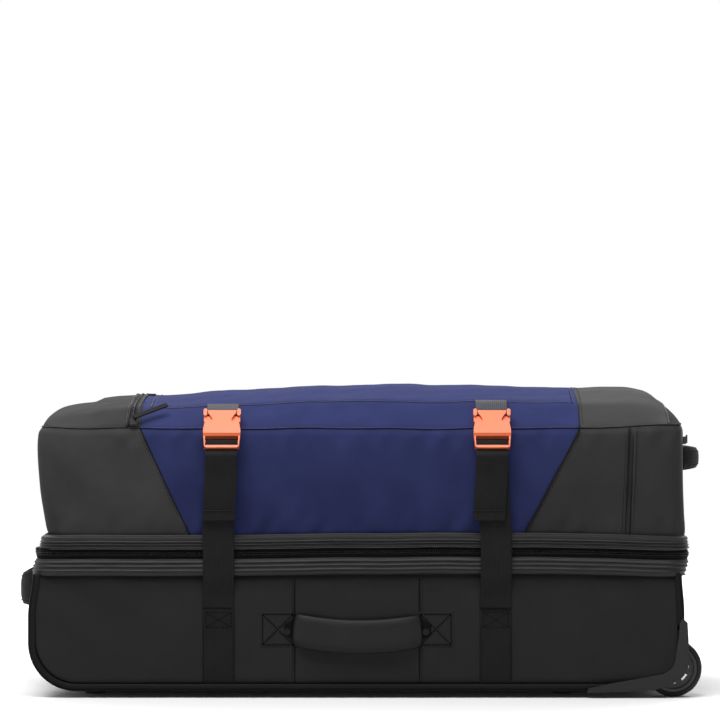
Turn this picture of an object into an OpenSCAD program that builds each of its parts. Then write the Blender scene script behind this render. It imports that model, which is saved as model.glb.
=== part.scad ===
// Wheeled split-level duffel bag lying on its back panel.
// X runs along the bag from its pull end (-X) to its wheel end (+X), Y across it with the
// buckled front side at -Y, and Z up. Z = 0 is the floor under the wheels and the feet.

/* [Lower compartment] */
// Half width between the two flat side panels
half_w = 180; // [165:1:195]
// X of the pull end wall
end_l = -391; // [-400:1:-380]
// X of the wheel end wall
end_r = 382; // [376:1:386]
// Height of the underside above the floor
under_z = 9; // [7:1:12]
// Height of the top of the side panels
side_z = 145; // [135:1:150]
// Radius of the rounded bottom edge at the pull end
radius_l = 56; // [45:1:62]
// Thickness of the padded fabric walls
wall = 4; // [3:0.5:5]

/* [Zip bands] */
// Height at which the bag splits
split_z = 168; // [166:0.5:170]
// Height of the top of the upper band
band_top_z = 190; // [188:1:194]
// How far the bands stand out from the side panels
band_out = 8; // [6:0.5:9]
// Height of the zip between the bands
zip_h = 10; // [8:0.5:12]

/* [Upper compartment] */
// Height of the shoulder seam
shoulder_z = 318; // [308:1:326]
// Height of the top of the bag
top_z = 370; // [364:1:378]
// Half width of the zipped top flap
flap_half_w = 135; // [120:1:140]
// X of the top flap's seam at the pull end
flap_left_x = -250; // [-252:1:-230]
// X of the top flap's seam at the wheel end
flap_right_x = 255; // [230:1:256]

/* [Wheels] */
// Radius of each wheel
wheel_r = 34; // [32:0.5:35]
// Width of each wheel
wheel_w = 28; // [24:1:30]
// X of the wheel axle
axle_x = 371; // [368:0.5:372]
// Radius of the axle
axle_r = 4; // [3:0.5:4]
// Number of spokes
spokes = 7; // [5:1:8]

/* [Trolley handle] */
// Distance from the middle to each tube
tube_y = 80; // [70:1:90]
// Height of the tubes
tube_z = 32; // [31:0.5:34]
// Outer radius of the fixed tubes
tube_r = 9.5; // [9:0.25:10]
// Wall of every tube
tube_wall = 1.1; // [0.8:0.1:1.2]
// Radial gap between two tubes
tube_gap = 0.3; // [0.2:0.05:0.4]

/* [Straps and buckles] */
// X of the straps nearer the pull end
strap_left_x = -163; // [-190:1:-140]
// X of the straps nearer the wheel end
strap_right_x = 156; // [140:1:190]
// Width of the webbing
strap_w = 38; // [30:1:38]
// Thickness of the webbing
strap_t = 1.6; // [1.2:0.1:2]
// Width of the buckle
buckle_w = 44; // [44:1:48]
// Thickness of the buckle
buckle_t = 10; // [9:0.5:11]
// Lean of the buckle over the shoulder, in degrees
buckle_lean = 35; // [30:1:38]

/* [Carry handles] */
// Length of the side handle between its anchors
side_handle_l = 150; // [130:1:160]
// Height of the side handle's strap
side_handle_h = 39; // [34:1:42]
// X of the outermost point of both end handles
end_handle_x = 415; // [408:0.5:420]

/* [Hidden] */
$fn = 48;

radius_r = 30;
seam_inset = 6;                       // width of the piping along the side panels' edges
gusset_y = half_w - 2;                // the gusset stops under the piping
piping_y = half_w + 3.5;
band_y = half_w + band_out;
axle_z = wheel_r;
wheel_y = half_w - 24;                // middle plane of each wheel
pocket_x = -268;                      // zip of the quick access pocket
shoulder_y = half_w - 2;
hinge_y = band_y + 0.8;               // axis of the fabric hinge at the far side
strap_root_z = 106;
strap_root_y = half_w + 2.6;
anchor_shift = 4.2;                   // the anchors sit a little wider apart than the buckles
buckle_z = 292;
buckle_y = half_w + 15.5;
grip_x = -360;
middle_r = tube_r - tube_wall - tube_gap;
inner_r = middle_r - tube_wall - tube_gap;
bezel_half = 106;                     // moulded cup around the stowed grip
bezel_top = 84;
bezel_back = -338;
upper_r = 386;                        // the upper compartment's wheel end wall
handle_x = -4;                        // the side handle's middle
handle_z = 78;
rim_r = wheel_r - 6;
seat_r = 11;                          // bearing seats in the hub
seat_w = 7;

// ---------- shared shapes ----------

function arc(c, r, a0, a1, n = 10) =
    [for (i = [0:n]) let (a = a0 + (a1 - a0) * i / n) c + r * [cos(a), sin(a)]];

// An XZ outline made solid from y0 to y1
module along_y(y0, y1) {
    translate([0, y1, 0]) rotate([90, 0, 0]) linear_extrude(height = y1 - y0) children();
}

// A YZ outline made solid from x0 to x1
module along_x(x0, x1) {
    translate([x0, 0, 0]) rotate([90, 0, 90]) linear_extrude(height = x1 - x0) children();
}

module box(lo, hi) {
    translate(lo) cube(hi - lo);
}

module rod_y(x, z, r, y0, y1) {
    translate([x, y1, z]) rotate([90, 0, 0]) cylinder(r = r, h = y1 - y0);
}

module both_sides() {
    children();
    mirror([0, 1, 0]) children();
}

// Rounded rectangle in the XY plane
module plan(x0, x1, hy, r) {
    translate([x0, -hy]) difference() {
        square([x1 - x0, 2 * hy]);
        for (cx = [0, 1], cy = [0, 1])
            translate([cx * (x1 - x0), cy * 2 * hy]) mirror([cx, 0]) mirror([0, cy])
                difference() {
                    translate([-1, -1]) square(r + 1);
                    translate([r, r]) circle(r);
                }
    }
}

module ring(x0, x1, hy, r, t, z0, z1) {
    translate([0, 0, z0]) linear_extrude(height = z1 - z0) difference() {
        plan(x0, x1, hy, r);
        plan(x0 + t, x1 - t, hy - t, r - t);
    }
}

// ---------- lower compartment ----------

function lower_outline(s, top = side_z) = concat(
    [[end_r - s, top], [end_l + s, top]],
    arc([end_l + radius_l, under_z + radius_l], radius_l - s, 180, 270),
    arc([end_r - radius_r, under_z + radius_r], radius_r - s, 270, 360)
);

// The visible corner guard: an arm up the end and an arm along the bottom
function guard_outline() = [
    [268, 6], [346, 9], [358, 13], [369.3, 17.3], [377, 21.5], [383, 27.5], [387.5, 37],
    [388, 60], [386.5, 89], [381, 94], [377.5, 90], [376, 72], [371.7, 43], [368.5, 35.5],
    [359, 28.5], [339.5, 25], [294, 16.7], [269, 11.5]
];

module guard_space() {
    both_sides() along_y(-half_w - 20, -half_w + 8.6)
        offset(delta = 0.2) polygon(guard_outline());
}

module wheel_space() {
    both_sides() box([324.8, -half_w - 10, -1], [400, -half_w + 46.2, 80.2]);
}

module lower_gusset() {
    color("dimgray") difference() {
        along_y(-gusset_y, gusset_y) difference() {
            polygon(lower_outline(0));
            polygon(lower_outline(wall, side_z + 1));
        }
        wheel_space();
        guard_space();
        box([end_l - 1, -bezel_half, 0], [bezel_back, bezel_half, bezel_top]);
    }
}

module lower_side() {
    difference() {
        along_y(-half_w, -half_w + wall) difference() {
            polygon(lower_outline(seam_inset));
            offset(delta = 0.2) polygon(guard_outline());
        }
        box([324.8, -half_w + 3, -1], [400, -half_w + 46, 80.2]);
        box([end_l, -gusset_y, 0], [end_r, 0, 0.1]);
    }
}

module lower_side_near() {
    color("dimgray") lower_side();
}

module lower_side_far() {
    color("dimgray") mirror([0, 1, 0]) lower_side();
}

module piping() {
    color("black") both_sides() along_y(-piping_y, -gusset_y) difference() {
        polygon(lower_outline(0));
        polygon(lower_outline(seam_inset, side_z + 1));
        translate([266, 0]) square([150, 94.5]);
    }
}

module lower_zip_band() {
    color("black") ring(-389, 388, band_y, 26, band_out + wall, side_z, split_z - zip_h / 2);
}

module lower_zip_tape() {
    color("black") ring(-385, 385, band_y - 3, 23, wall, split_z - zip_h / 2, split_z - 0.3);
}

// Fabric strip that joins the two zip bands at the far side
module hinge_tape() {
    color("black") box([-300, band_y - 2.8, split_z - zip_h / 2 + 0.2],
                       [300, band_y - 1.4, split_z + zip_h / 2 - 0.2]);
}

// Moulded board under the bag, with two raised skid rails
module back_panel() {
    color("black") {
        box([-330, -half_w + 30, 5.5], [322, half_w - 30, under_z]);
        both_sides() box([-300, -half_w + 42, 3], [300, -half_w + 56, 6]);
    }
}

module skid_feet() {
    color("black") both_sides() for (x = [-318, 240])
        translate([x, -110, 0]) cylinder(r = 12, h = 5.5);
}

// Board that covers the trolley tubes inside the compartment
module false_floor() {
    color("gray") box([bezel_back + 2, -half_w + 48, 45.6], [322, half_w - 48, 48]);
}

// ---------- wheels ----------

// Opening around the wheel, out through the end and the underside
module wheel_bay() {
    y0 = -wheel_y - wheel_w / 2 - 2;
    y1 = -wheel_y + wheel_w / 2 + 2;
    rod_y(axle_x, axle_z, wheel_r + 3, y0, y1);
    box([axle_x, y0, -5], [420, y1, axle_z + 14]);
    box([axle_x - 14, y0, -5], [420, y1, axle_z]);
}

module wheel_housing() {
    plate_y0 = -half_w + 4.4;
    plate_y1 = -half_w + 45.8;
    difference() {
        union() {
            along_y(-half_w - 7, plate_y0 + 4) polygon(guard_outline());
            along_y(plate_y0, plate_y1) polygon([
                [325, under_z + 0.2], [346, 9.2], [358, 13], [369.3, 17.3], [377, 21.5],
                [383, 27.5], [387.5, 37], [387.5, 60], [end_r + 0.5, 80], [325, 80]
            ]);
        }
        wheel_bay();
        rod_y(axle_x, axle_z, axle_r + 0.02, -half_w + 4.9, -half_w + 50);
        box([300, -half_w - 0.2, 0], [axle_x - 12, -half_w + 3.8, 8]);
    }
}

module wheel_housing_near() {
    color("black") wheel_housing();
}

module wheel_housing_far() {
    color("black") mirror([0, 1, 0]) wheel_housing();
}

module axle_bolts() {
    color("silver") both_sides() {
        rod_y(axle_x, axle_z, axle_r, -half_w + 5, -half_w + 48);
        rod_y(axle_x, axle_z, axle_r + 2, -half_w + 46, -half_w + 50);
    }
}

module on_axle() {
    translate([axle_x, -wheel_y, axle_z]) rotate([90, 0, 0]) children();
}

module tyre() {
    on_axle() rotate_extrude() polygon(concat(
        [[rim_r, -wheel_w / 2 + 1], [rim_r, wheel_w / 2 - 1]],
        arc([wheel_r - 5, wheel_w / 2 - 5], 5, 90, 0, 6),
        arc([wheel_r - 5, -wheel_w / 2 + 5], 5, 0, -90, 6)
    ));
}

module tyre_near() {
    color("black") tyre();
}

module tyre_far() {
    color("black") mirror([0, 1, 0]) tyre();
}

// Opening between two spokes, a sector of the ring between the hub and the rim
module spoke_window() {
    difference() {
        cylinder(r = 20, h = 40, center = true);
        cylinder(r = seat_r + 2.4, h = 50, center = true);
        rotate(14) translate([-30, 0, -30]) cube([60, 60, 60]);
        rotate(-14) translate([-30, -60, -30]) cube([60, 60, 60]);
    }
}

module hub() {
    on_axle() difference() {
        cylinder(r = rim_r, h = wheel_w - 2, center = true);
        for (s = [-1, 1]) translate([0, 0, s * (wheel_w / 2 - 2)]) difference() {
            cylinder(r = rim_r - 3.5, h = 9, center = true);
            cylinder(r = seat_r + 2.2, h = 20, center = true);
        }
        for (i = [0:spokes - 1]) rotate(i * 360 / spokes + 12) spoke_window();
        for (s = [-1, 1]) translate([0, 0, s * (wheel_w / 2 - seat_w / 2 - 1)])
            cylinder(r = seat_r, h = seat_w + 0.01, center = true);
        cylinder(r = axle_r + 2, h = 60, center = true);
    }
}

module hub_near() {
    color("dimgray") hub();
}

module hub_far() {
    color("dimgray") mirror([0, 1, 0]) hub();
}

module bearings() {
    on_axle() for (s = [-1, 1]) translate([0, 0, s * (wheel_w / 2 - seat_w / 2 - 1)])
        difference() {
            cylinder(r = seat_r, h = seat_w - 0.1, center = true);
            cylinder(r = axle_r + 0.05, h = seat_w + 1, center = true);
        }
}

module bearings_near() {
    color("silver") bearings();
}

module bearings_far() {
    color("silver") mirror([0, 1, 0]) bearings();
}

// ---------- trolley handle ----------

module tube_pair(r, x0, x1) {
    for (y = [-tube_y, tube_y]) translate([x0, y, tube_z]) rotate([0, 90, 0]) difference() {
        cylinder(r = r, h = x1 - x0);
        translate([0, 0, -1]) cylinder(r = r - tube_wall, h = x1 - x0 + 2);
    }
}

module outer_tubes() {
    color("silver") tube_pair(tube_r, bezel_back - 6, 326);
}

module middle_tubes() {
    color("silver") tube_pair(middle_r, bezel_back - 8, 70);
}

module inner_tubes() {
    color("silver") tube_pair(inner_r, grip_x + 1, 60);
}

module tube_bracket() {
    color("black") difference() {
        box([310, -tube_y - 16, under_z + wall + 0.3], [322, tube_y + 16, 45.6]);
        for (y = [-tube_y, tube_y]) translate([300, y, tube_z]) rotate([0, 90, 0])
            cylinder(r = tube_r + 0.05, h = 40);
    }
}

// Moulded cup around the stowed grip
module handle_bezel() {
    color("black") difference() {
        along_y(-bezel_half + 0.3, bezel_half - 0.3) intersection() {
            polygon(lower_outline(0));
            translate([end_l - 1, 0]) square([bezel_back - end_l + 1, bezel_top - 0.3]);
        }
        box([end_l - 5, -bezel_half + 6, under_z + 6], [bezel_back - 8, bezel_half - 6, bezel_top - 8]);
        for (y = [-tube_y, tube_y]) translate([bezel_back - 20, y, tube_z]) rotate([0, 90, 0])
            cylinder(r = tube_r + 0.05, h = 40);
    }
}

module bezel_screws() {
    color("silver") for (y = [-45, 45]) translate([bezel_back - 8, y, 66]) rotate([0, -90, 0])
        cylinder(r = 3.2, h = 1.8);
}

module grip() {
    color("black") difference() {
        union() {
            rod_y(grip_x, tube_z, 12, -93, 93);
            for (y = [-tube_y, tube_y]) translate([grip_x, y, tube_z]) rotate([0, 90, 0])
                cylinder(r = 9, h = 11.5);
        }
        for (y = [-tube_y, tube_y]) translate([grip_x + 0.9, y, tube_z]) rotate([0, 90, 0])
            cylinder(r = inner_r + 0.02, h = 40);
        box([grip_x - 20, -17.4, tube_z - 6.4], [grip_x + 1.2, 17.4, tube_z + 6.4]);
    }
}

module release_button() {
    color("dimgray") box([grip_x - 14, -17, tube_z - 6], [grip_x - 4, 17, tube_z + 6]);
}

// ---------- carry handles ----------

module side_handle() {
    l = side_handle_l / 2;
    color("black") translate([handle_x, 0, handle_z - side_handle_h / 2])
        linear_extrude(height = side_handle_h) polygon([
            [-l, -half_w - 0.2], [-l + 5, -half_w - 0.2], [-l + 17, -half_w - 8],
            [l - 17, -half_w - 8], [l - 5, -half_w - 0.2], [l, -half_w - 0.2],
            [l - 9, -half_w - 12.5], [0, -half_w - 14], [-l + 9, -half_w - 12.5]
        ]);
}

module side_handle_patches() {
    color("black") for (s = [-1, 1]) translate([handle_x + s * (side_handle_l / 2 + 18), 0, handle_z])
        box([-17.5, -half_w - 2, -19], [17.5, -half_w, 19]);
}

module side_handle_rivets() {
    color("silver") for (s = [-1, 1]) translate([handle_x + s * (side_handle_l / 2 + 7), -half_w - 2, handle_z])
        rotate([90, 0, 0]) {
            cylinder(r = 4, h = 1.2);
            cylinder(r = 2.2, h = 2.2);
        }
}

// A grab handle on the end wall at x, reaching out to end_handle_x
module end_handle(x, z0, z1) {
    out = end_handle_x - x;
    translate([x, 0, z0]) linear_extrude(height = z1 - z0) polygon([
        [0, -66], [1.8, -66], [1.8, -58], [out - 3, -42], [out, -26], [out, 26], [out - 3, 42],
        [1.8, 58], [1.8, 66], [0, 66], [0, 52], [out - 8, 37], [out - 5, 25], [out - 5, -25],
        [out - 8, -37], [0, -52]
    ]);
}

module pull_end_handle() {
    color("black") mirror([1, 0, 0]) end_handle(-end_l, 101, 146);
}

module wheel_end_handle() {
    color("black") end_handle(upper_r, 266, 294);
}

// ---------- upper compartment ----------

// The bag's long outline above the bands, seen from the side
function long_outline() = [
    [-367, band_top_z], [upper_r, band_top_z], [upper_r, shoulder_z], [381, 328], [370, 341],
    [352, 354], [325, 361], [260, top_z - 4], [150, top_z - 1], [40, top_z], [-60, top_z - 1],
    [-170, 363], [-258, 356], [-310, 351], [-345, 344], [-366, 333], [-376, shoulder_z],
    [-379, 290], [-378, 250], [-373, 214]
];

// The bag's cross outline above the bands
function cross_half() = [
    [half_w - 2, band_top_z], [half_w + 1.5, 225], [half_w + 2, 260], [half_w + 0.5, 295],
    [shoulder_y, shoulder_z], [flap_half_w + 26, 334], [flap_half_w, 349], [100, 359],
    [60, 366], [25, top_z - 0.6]
];
function cross_outline() = concat(
    cross_half(),
    [for (i = [len(cross_half()) - 1:-1:0]) [-cross_half()[i][0], cross_half()[i][1]]]
);

module upper_form(s) {
    intersection() {
        along_y(-half_w - 10, half_w + 10) offset(delta = -s) polygon(long_outline());
        along_x(-400, 400) offset(delta = -s) polygon(cross_outline());
    }
}

module upper_skin() {
    difference() {
        upper_form(0);
        upper_form(wall);
        box([-370 + 2 * wall, -half_w + 2 * wall, band_top_z - 1],
            [upper_r - 2 * wall, half_w - 2 * wall, band_top_z + 2 * wall]);
    }
}

// The blue panels, slanted at their ends on the sides of the bag
function centre_outline() = [
    [-200, 100], [192, 100], [192, band_top_z], [260, shoulder_z], [260, 400],
    [-260, 400], [-260, shoulder_z], [-200, band_top_z]
];

module flap_space(gap) {
    box([flap_left_x - gap, -flap_half_w - gap, 330], [flap_right_x + gap, flap_half_w + gap, 400]);
}

module upper_centre_panels() {
    color("midnightblue") difference() {
        intersection() {
            upper_skin();
            along_y(-300, 300) polygon(centre_outline());
        }
        flap_space(0);
    }
}

module upper_end(x0, x1) {
    difference() {
        intersection() {
            upper_skin();
            box([x0, -300, 100], [x1, 300, 400]);
        }
        along_y(-300, 300) polygon(centre_outline());
    }
}

module upper_pull_end() {
    color("dimgray") intersection() {
        upper_end(-400, -200);
        box([-400, -300, 100], [0, 300, shoulder_z]);
    }
}

module quick_pocket_panel() {
    color("dimgray") intersection() {
        upper_end(-400, -200);
        box([-400, -300, shoulder_z], [0, 300, 400]);
    }
}

module upper_wheel_end() {
    color("dimgray") upper_end(192, 400);
}

module top_flap() {
    color("midnightblue") intersection() {
        upper_skin();
        flap_space(-1);
    }
}

module divider_panel() {
    color("gray") translate([0, 0, 176]) linear_extrude(height = 2)
        plan(-368, 376, band_y - band_out - wall, 30);
}

module upper_zip_band() {
    color("black") ring(-380, 388, band_y, 26, band_out + wall, split_z + zip_h / 2, band_top_z);
}

module upper_zip_tape() {
    color("black") ring(-378, 385, band_y - 3, 23, wall, split_z + 0.3, split_z + zip_h / 2);
}

// Zip tape under the flap's seam, on the three sides that open
module flap_zip() {
    color("black") difference() {
        intersection() {
            difference() {
                upper_form(wall);
                upper_form(wall + 1.4);
            }
            flap_space(7);
        }
        intersection() {
            difference() {
                upper_form(wall - 1);
                upper_form(wall + 0.4);
            }
            flap_space(0);
        }
        flap_space(-7);
        box([-300, flap_half_w - 9, 300], [300, 300, 400]);
    }
}

// Strip of zip laid over the top and both shoulders
module quick_pocket_zip() {
    color("black") difference() {
        intersection() {
            upper_form(-1);
            box([pocket_x - 5, -half_w - 4, shoulder_z + 2], [pocket_x + 5, half_w + 4, 400]);
        }
        upper_form(0);
    }
}

module quick_pocket_slider() {
    color("silver") translate([pocket_x, -172.5, 324]) rotate([43, 0, 0])
        box([-4, -6, 1.1], [4, 6, 4.6]);
}

module end_pocket_zip() {
    color("black") box([upper_r, -120, 300], [upper_r + 1.5, 120, 305]);
}

// ---------- straps and buckles ----------

module strap_anchors() {
    color("black") both_sides() for (x = [strap_left_x - anchor_shift, strap_right_x + anchor_shift])
        box([x - strap_w / 2, -half_w - 1.8, 16], [x + strap_w / 2, -half_w, strap_root_z - 3]);
}

// A point of the strap's YZ outline, given in the buckle's leaning frame
function lean(y, z) = [
    -buckle_y + y * cos(buckle_lean) + z * sin(buckle_lean),
    buckle_z - y * sin(buckle_lean) + z * cos(buckle_lean)
];

// A strap from its root over the bands to the buckle, with its tail hanging in front of it
module strap(x) {
    t = strap_t;
    out = -band_y - 1.2;
    along_x(x - strap_w / 2, x + strap_w / 2) {
        polygon([
            [-strap_root_y - t, strap_root_z], [-strap_root_y, strap_root_z],
            [out, side_z - 1], [out, band_top_z], lean(-0.4, -1), lean(-2, -1),
            [out - t, band_top_z], [out - t, side_z - 1]
        ]);
        polygon([lean(-3.6, -1), lean(-2, -1), [out - 3.2, 209], [out - 3.2 - t, 209]]);
        difference() {
            polygon([
                lean(-3.6, -2), lean(-0.4, -2), lean(-0.4, 13), lean(-1.4, 14.2), lean(-6.2, 14.2),
                lean(-7.2, 13.2), lean(-7.2, 5.6), lean(-6.2, 4.6), lean(-3.6, 4.2)
            ]);
            polygon([lean(-2, 5.8), lean(-2, 12.6), lean(-5.6, 12.6), lean(-5.6, 6.2)]);
        }
    }
}

// The buckle's own frame: across in X, outward in Y- and along in Z, leaning over the shoulder
module at_buckle(x) {
    translate([x, -buckle_y, buckle_z]) rotate([-buckle_lean, 0, 0]) children();
}

function mirrored(h) = concat(h, [for (i = [len(h) - 1:-1:0]) [-h[i][0], h[i][1]]]);

module buckle_plate(y0, y1, outline) {
    translate([0, y1, 0]) rotate([90, 0, 0]) linear_extrude(height = y1 - y0) polygon(outline);
}

// Socket: webbing frame below, raised housing above and the neck between the thumb grips.
// The back of its cavity is open.
module socket(x) {
    w = buckle_w / 2;
    slot = strap_w / 2 + 0.6;
    front = -buckle_t + 2.5;           // front of the webbing frame
    at_buckle(x) {
        difference() {
            union() {
                buckle_plate(front, 0, mirrored([[w - 4, 0], [w - 1.5, 2], [w - 0.3, 17], [w, 18]]));
                buckle_plate(-buckle_t, 0, mirrored([[w, 19], [w, 24], [w - 1.2, 32], [w - 2.6, 36]]));
                along_x(-w, w) polygon([
                    [front, 16.4], [-buckle_t, 19.4], [-buckle_t, 20.5], [0, 20.5], [0, 16.4]
                ]);
            }
            box([-w + 3, -buckle_t + 2.8, 21], [w - 3, 1, 60]);
            box([-slot, -buckle_t - 1, 3.6], [slot, 1, 16.4]);
            box([-slot, -buckle_t + 6.2, -1], [slot, 1, 3.7]);
            box([-w - 1, -1.1, 23], [w + 1, 1, 60]);
        }
        box([-slot - 0.4, -5.2, 6.6], [slot + 0.4, -3.2, 11.6]);
        buckle_plate(-buckle_t, -buckle_t + 2.8, mirrored([
            [w - 8, 35], [w - 10.7, 37], [w - 10.7, 39], [w - 9, 42.5], [w - 5.6, 47.5], [w - 5, 51.3]
        ]));
    }
}

module plug(x) {
    w = buckle_w / 2;
    back = -1;
    front = -buckle_t + 4;
    slot = strap_w / 2 + 0.4;
    at_buckle(x) {
        // frame with its webbing slot
        difference() {
            box([-w + 0.6, front, 37.4], [w - 0.6, back, 54]);
            box([-slot, -buckle_t, 45], [slot, 1, 55]);
        }
        box([-slot - 0.6, -4.6, 49], [slot + 0.6, back, 52.4]);
        // thumb grips and the arms that latch inside the socket
        for (s = [-1, 1]) scale([s, 1, 1]) {
            buckle_plate(-buckle_t + 0.7, front + 0.01, [
                [w - 4.4, 46], [w - 2.6, 44], [w - 0.8, 44.6], [w, 47], [w, 52.5],
                [w - 1.5, 54.2], [w - 3.4, 54.2], [w - 4.4, 52]
            ]);
            buckle_plate(-buckle_t + 3.4, back - 1, [
                [11, 40.5], [14.5, 40.5], [w - 3.6, 27], [w - 4.6, 22.5], [13.5, 22.5], [14.5, 27]
            ]);
        }
        box([-2.5, -buckle_t + 3.4, 22.5], [2.5, back - 1, 40.5]);
    }
}

// Webbing looped round the plug's bar and sewn into the flap's seam
module plug_tab(x) {
    seam = [-flap_half_w - 1.6, 350.4];
    along_x(x - strap_w / 2, x + strap_w / 2) difference() {
        polygon([
            lean(-5.8, 45.4), lean(-4.6, 46), lean(-0.9, 46.8), lean(-0.9, 45.4),
            lean(0.7, 45.4), lean(0.7, 53), seam, seam + [0, 1.8], lean(-0.4, 55.6),
            lean(-2, 54.4), lean(-5.2, 54.4), lean(-5.8, 53.4)
        ]);
        polygon([lean(-0.8, 48.6), lean(-0.8, 52.6), lean(-4.8, 52.6), lean(-4.8, 48.6)]);
    }
}

module buckle_plugs() {
    color("orangered") both_sides() for (x = [strap_left_x, strap_right_x]) plug(x);
}

module plug_webbing() {
    color("dimgray") both_sides() for (x = [strap_left_x, strap_right_x]) plug_tab(x);
}

module strap_near_left() {
    color("black") strap(strap_left_x);
}

module strap_near_right() {
    color("black") strap(strap_right_x);
}

module strap_far_left() {
    color("black") mirror([0, 1, 0]) strap(strap_left_x);
}

module strap_far_right() {
    color("black") mirror([0, 1, 0]) strap(strap_right_x);
}

module socket_near_left() {
    color("orangered") socket(strap_left_x);
}

module socket_near_right() {
    color("orangered") socket(strap_right_x);
}

module socket_far_left() {
    color("orangered") mirror([0, 1, 0]) socket(strap_left_x);
}

module socket_far_right() {
    color("orangered") mirror([0, 1, 0]) socket(strap_right_x);
}

// ---------- zip sliders ----------

module split_slider(s) {
    scale([1, s, 1]) {
        box([-392, 8, split_z - 4], [-385.4, 20, split_z + 4]);
        box([-394.5, 20.3, split_z - 3], [-392.4, 46, split_z + 3]);
        box([-394.5, 12, split_z - 1.5], [-392, 20.4, split_z + 1.5]);
    }
}

module split_slider_near() {
    color("silver") split_slider(-1);
}

module split_slider_far() {
    color("silver") split_slider(1);
}

// Long pull of the quick access pocket, lying on the shoulder
module quick_pocket_pull() {
    color("black") translate([pocket_x, -173.2, 330.2]) rotate([37, 0, 0]) rotate([0, 0, 32])
        box([0, -3.5, 0.4], [46, 3.5, 2.4]);
}

module flap_slider() {
    color("silver") {
        box([flap_left_x - 10, -6, 357], [flap_left_x - 0.4, 6, 359.4]);
        box([flap_left_x - 25, -2.5, 357.5], [flap_left_x - 10, 2.5, 358.8]);
    }
}

module end_pocket_slider() {
    color("silver") {
        box([upper_r + 1.8, -106, 298], [upper_r + 5.5, -94, 307]);
        box([upper_r + 5.5, -102, 299], [upper_r + 7.5, -98, 309]);
    }
}

lower_gusset();
lower_side_near();
lower_side_far();
piping();
lower_zip_band();
lower_zip_tape();
hinge_tape();
back_panel();
skid_feet();
false_floor();
wheel_housing_near();
wheel_housing_far();
axle_bolts();
outer_tubes();
tube_bracket();
handle_bezel();
bezel_screws();
side_handle();
side_handle_patches();
side_handle_rivets();
pull_end_handle();
strap_anchors();
upper_centre_panels();
upper_pull_end();
quick_pocket_panel();
upper_wheel_end();
divider_panel();
upper_zip_band();
upper_zip_tape();
buckle_plugs();
plug_webbing();
wheel_end_handle();
end_pocket_zip();
quick_pocket_zip();
quick_pocket_slider();
top_flap();
flap_zip();
flap_slider();
strap_near_left();
strap_near_right();
strap_far_left();
strap_far_right();
socket_near_left();
socket_near_right();
socket_far_left();
socket_far_right();
tyre_near();
tyre_far();
hub_near();
hub_far();
bearings_near();
bearings_far();
middle_tubes();
inner_tubes();
grip();
release_button();
split_slider_near();
split_slider_far();
quick_pocket_pull();
end_pocket_slider();
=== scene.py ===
"""Looks of a wheeled split-level duffel bag: cloth shells, webbing, piping, stitches, mouldings.

Lengths are in millimetres until a mesh is made, when they become metres.
"""

import math
from contextlib import contextmanager

import bmesh
import bpy
import numpy as np
from mathutils import Matrix, Vector


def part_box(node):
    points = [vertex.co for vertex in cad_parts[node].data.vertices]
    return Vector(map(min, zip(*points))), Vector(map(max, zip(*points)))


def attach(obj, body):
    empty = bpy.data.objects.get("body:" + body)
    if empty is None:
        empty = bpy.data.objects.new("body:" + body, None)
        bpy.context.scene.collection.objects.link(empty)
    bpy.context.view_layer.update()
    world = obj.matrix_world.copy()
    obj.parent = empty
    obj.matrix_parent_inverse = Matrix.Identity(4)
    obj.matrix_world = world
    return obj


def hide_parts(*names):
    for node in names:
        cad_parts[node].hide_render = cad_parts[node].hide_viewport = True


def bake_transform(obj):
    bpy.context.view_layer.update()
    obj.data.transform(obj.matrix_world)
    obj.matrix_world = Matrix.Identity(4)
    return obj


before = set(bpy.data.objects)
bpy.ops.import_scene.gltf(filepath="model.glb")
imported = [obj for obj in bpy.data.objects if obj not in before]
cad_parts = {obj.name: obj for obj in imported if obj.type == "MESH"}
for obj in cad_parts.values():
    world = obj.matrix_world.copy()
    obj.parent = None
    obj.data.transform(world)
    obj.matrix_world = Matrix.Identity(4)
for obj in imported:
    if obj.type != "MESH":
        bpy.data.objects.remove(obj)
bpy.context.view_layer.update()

# ---- dimensions


def box_mm(node):
    lo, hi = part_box(node)
    return np.array(lo, float) * 1000, np.array(hi, float) * 1000


_, BAND_HI = box_mm("lower_zip_band")
UP_BAND_LO, UP_BAND_HI = box_mm("upper_zip_band")
SIDE_LO, _ = box_mm("lower_side_near")
GUS_LO, GUS_HI = box_mm("lower_gusset")
STRAP_LO, STRAP_HI = box_mm("strap_near_right")
LEFT_STRAP_LO, LEFT_STRAP_HI = box_mm("strap_near_left")
ANCHOR_LO, ANCHOR_HI = box_mm("strap_anchors")
HAND_LO, HAND_HI = box_mm("side_handle")
FLAP_LO, FLAP_HI = box_mm("top_flap")
_, BEZ_HI = box_mm("handle_bezel")

HALF_W = -SIDE_LO[1]
UNDER_Z = GUS_LO[2]
SIDE_TOP = GUS_HI[2]
SPLIT_Z = (BAND_HI[2] + UP_BAND_LO[2]) / 2
BAND_TOP = UP_BAND_HI[2]
SHOULDER_Z = 318.0     # height of the seam between the wall and the crowned top
RISE = 52.0            # from the shoulder seam to the crown
STRAP_W = STRAP_HI[0] - STRAP_LO[0]
RIGHT_BUCKLE = (STRAP_LO[0] + STRAP_HI[0]) / 2
LEFT_BUCKLE = (LEFT_STRAP_LO[0] + LEFT_STRAP_HI[0]) / 2
LEFT_ANCHOR = ANCHOR_LO[0] + STRAP_W / 2
RIGHT_ANCHOR = ANCHOR_HI[0] - STRAP_W / 2
LEAN = math.radians(35)                    # of the buckles, back from upright
BUCKLE_Y, BUCKLE_Z = -195.5, 292.0         # where the near buckles' leaning frame starts
BLUE_X = 260.0         # half length of the blue panels at the shoulder
BLUE_FOOT = 196.0      # and at the bands
BLUE_MID = -4.0        # middle of their foot
FLAP_Y = 135.0         # half width of the top flap
WALL_T, SIDE_T = 3.4, 3.2                  # cloth with its lining, above and below
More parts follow.
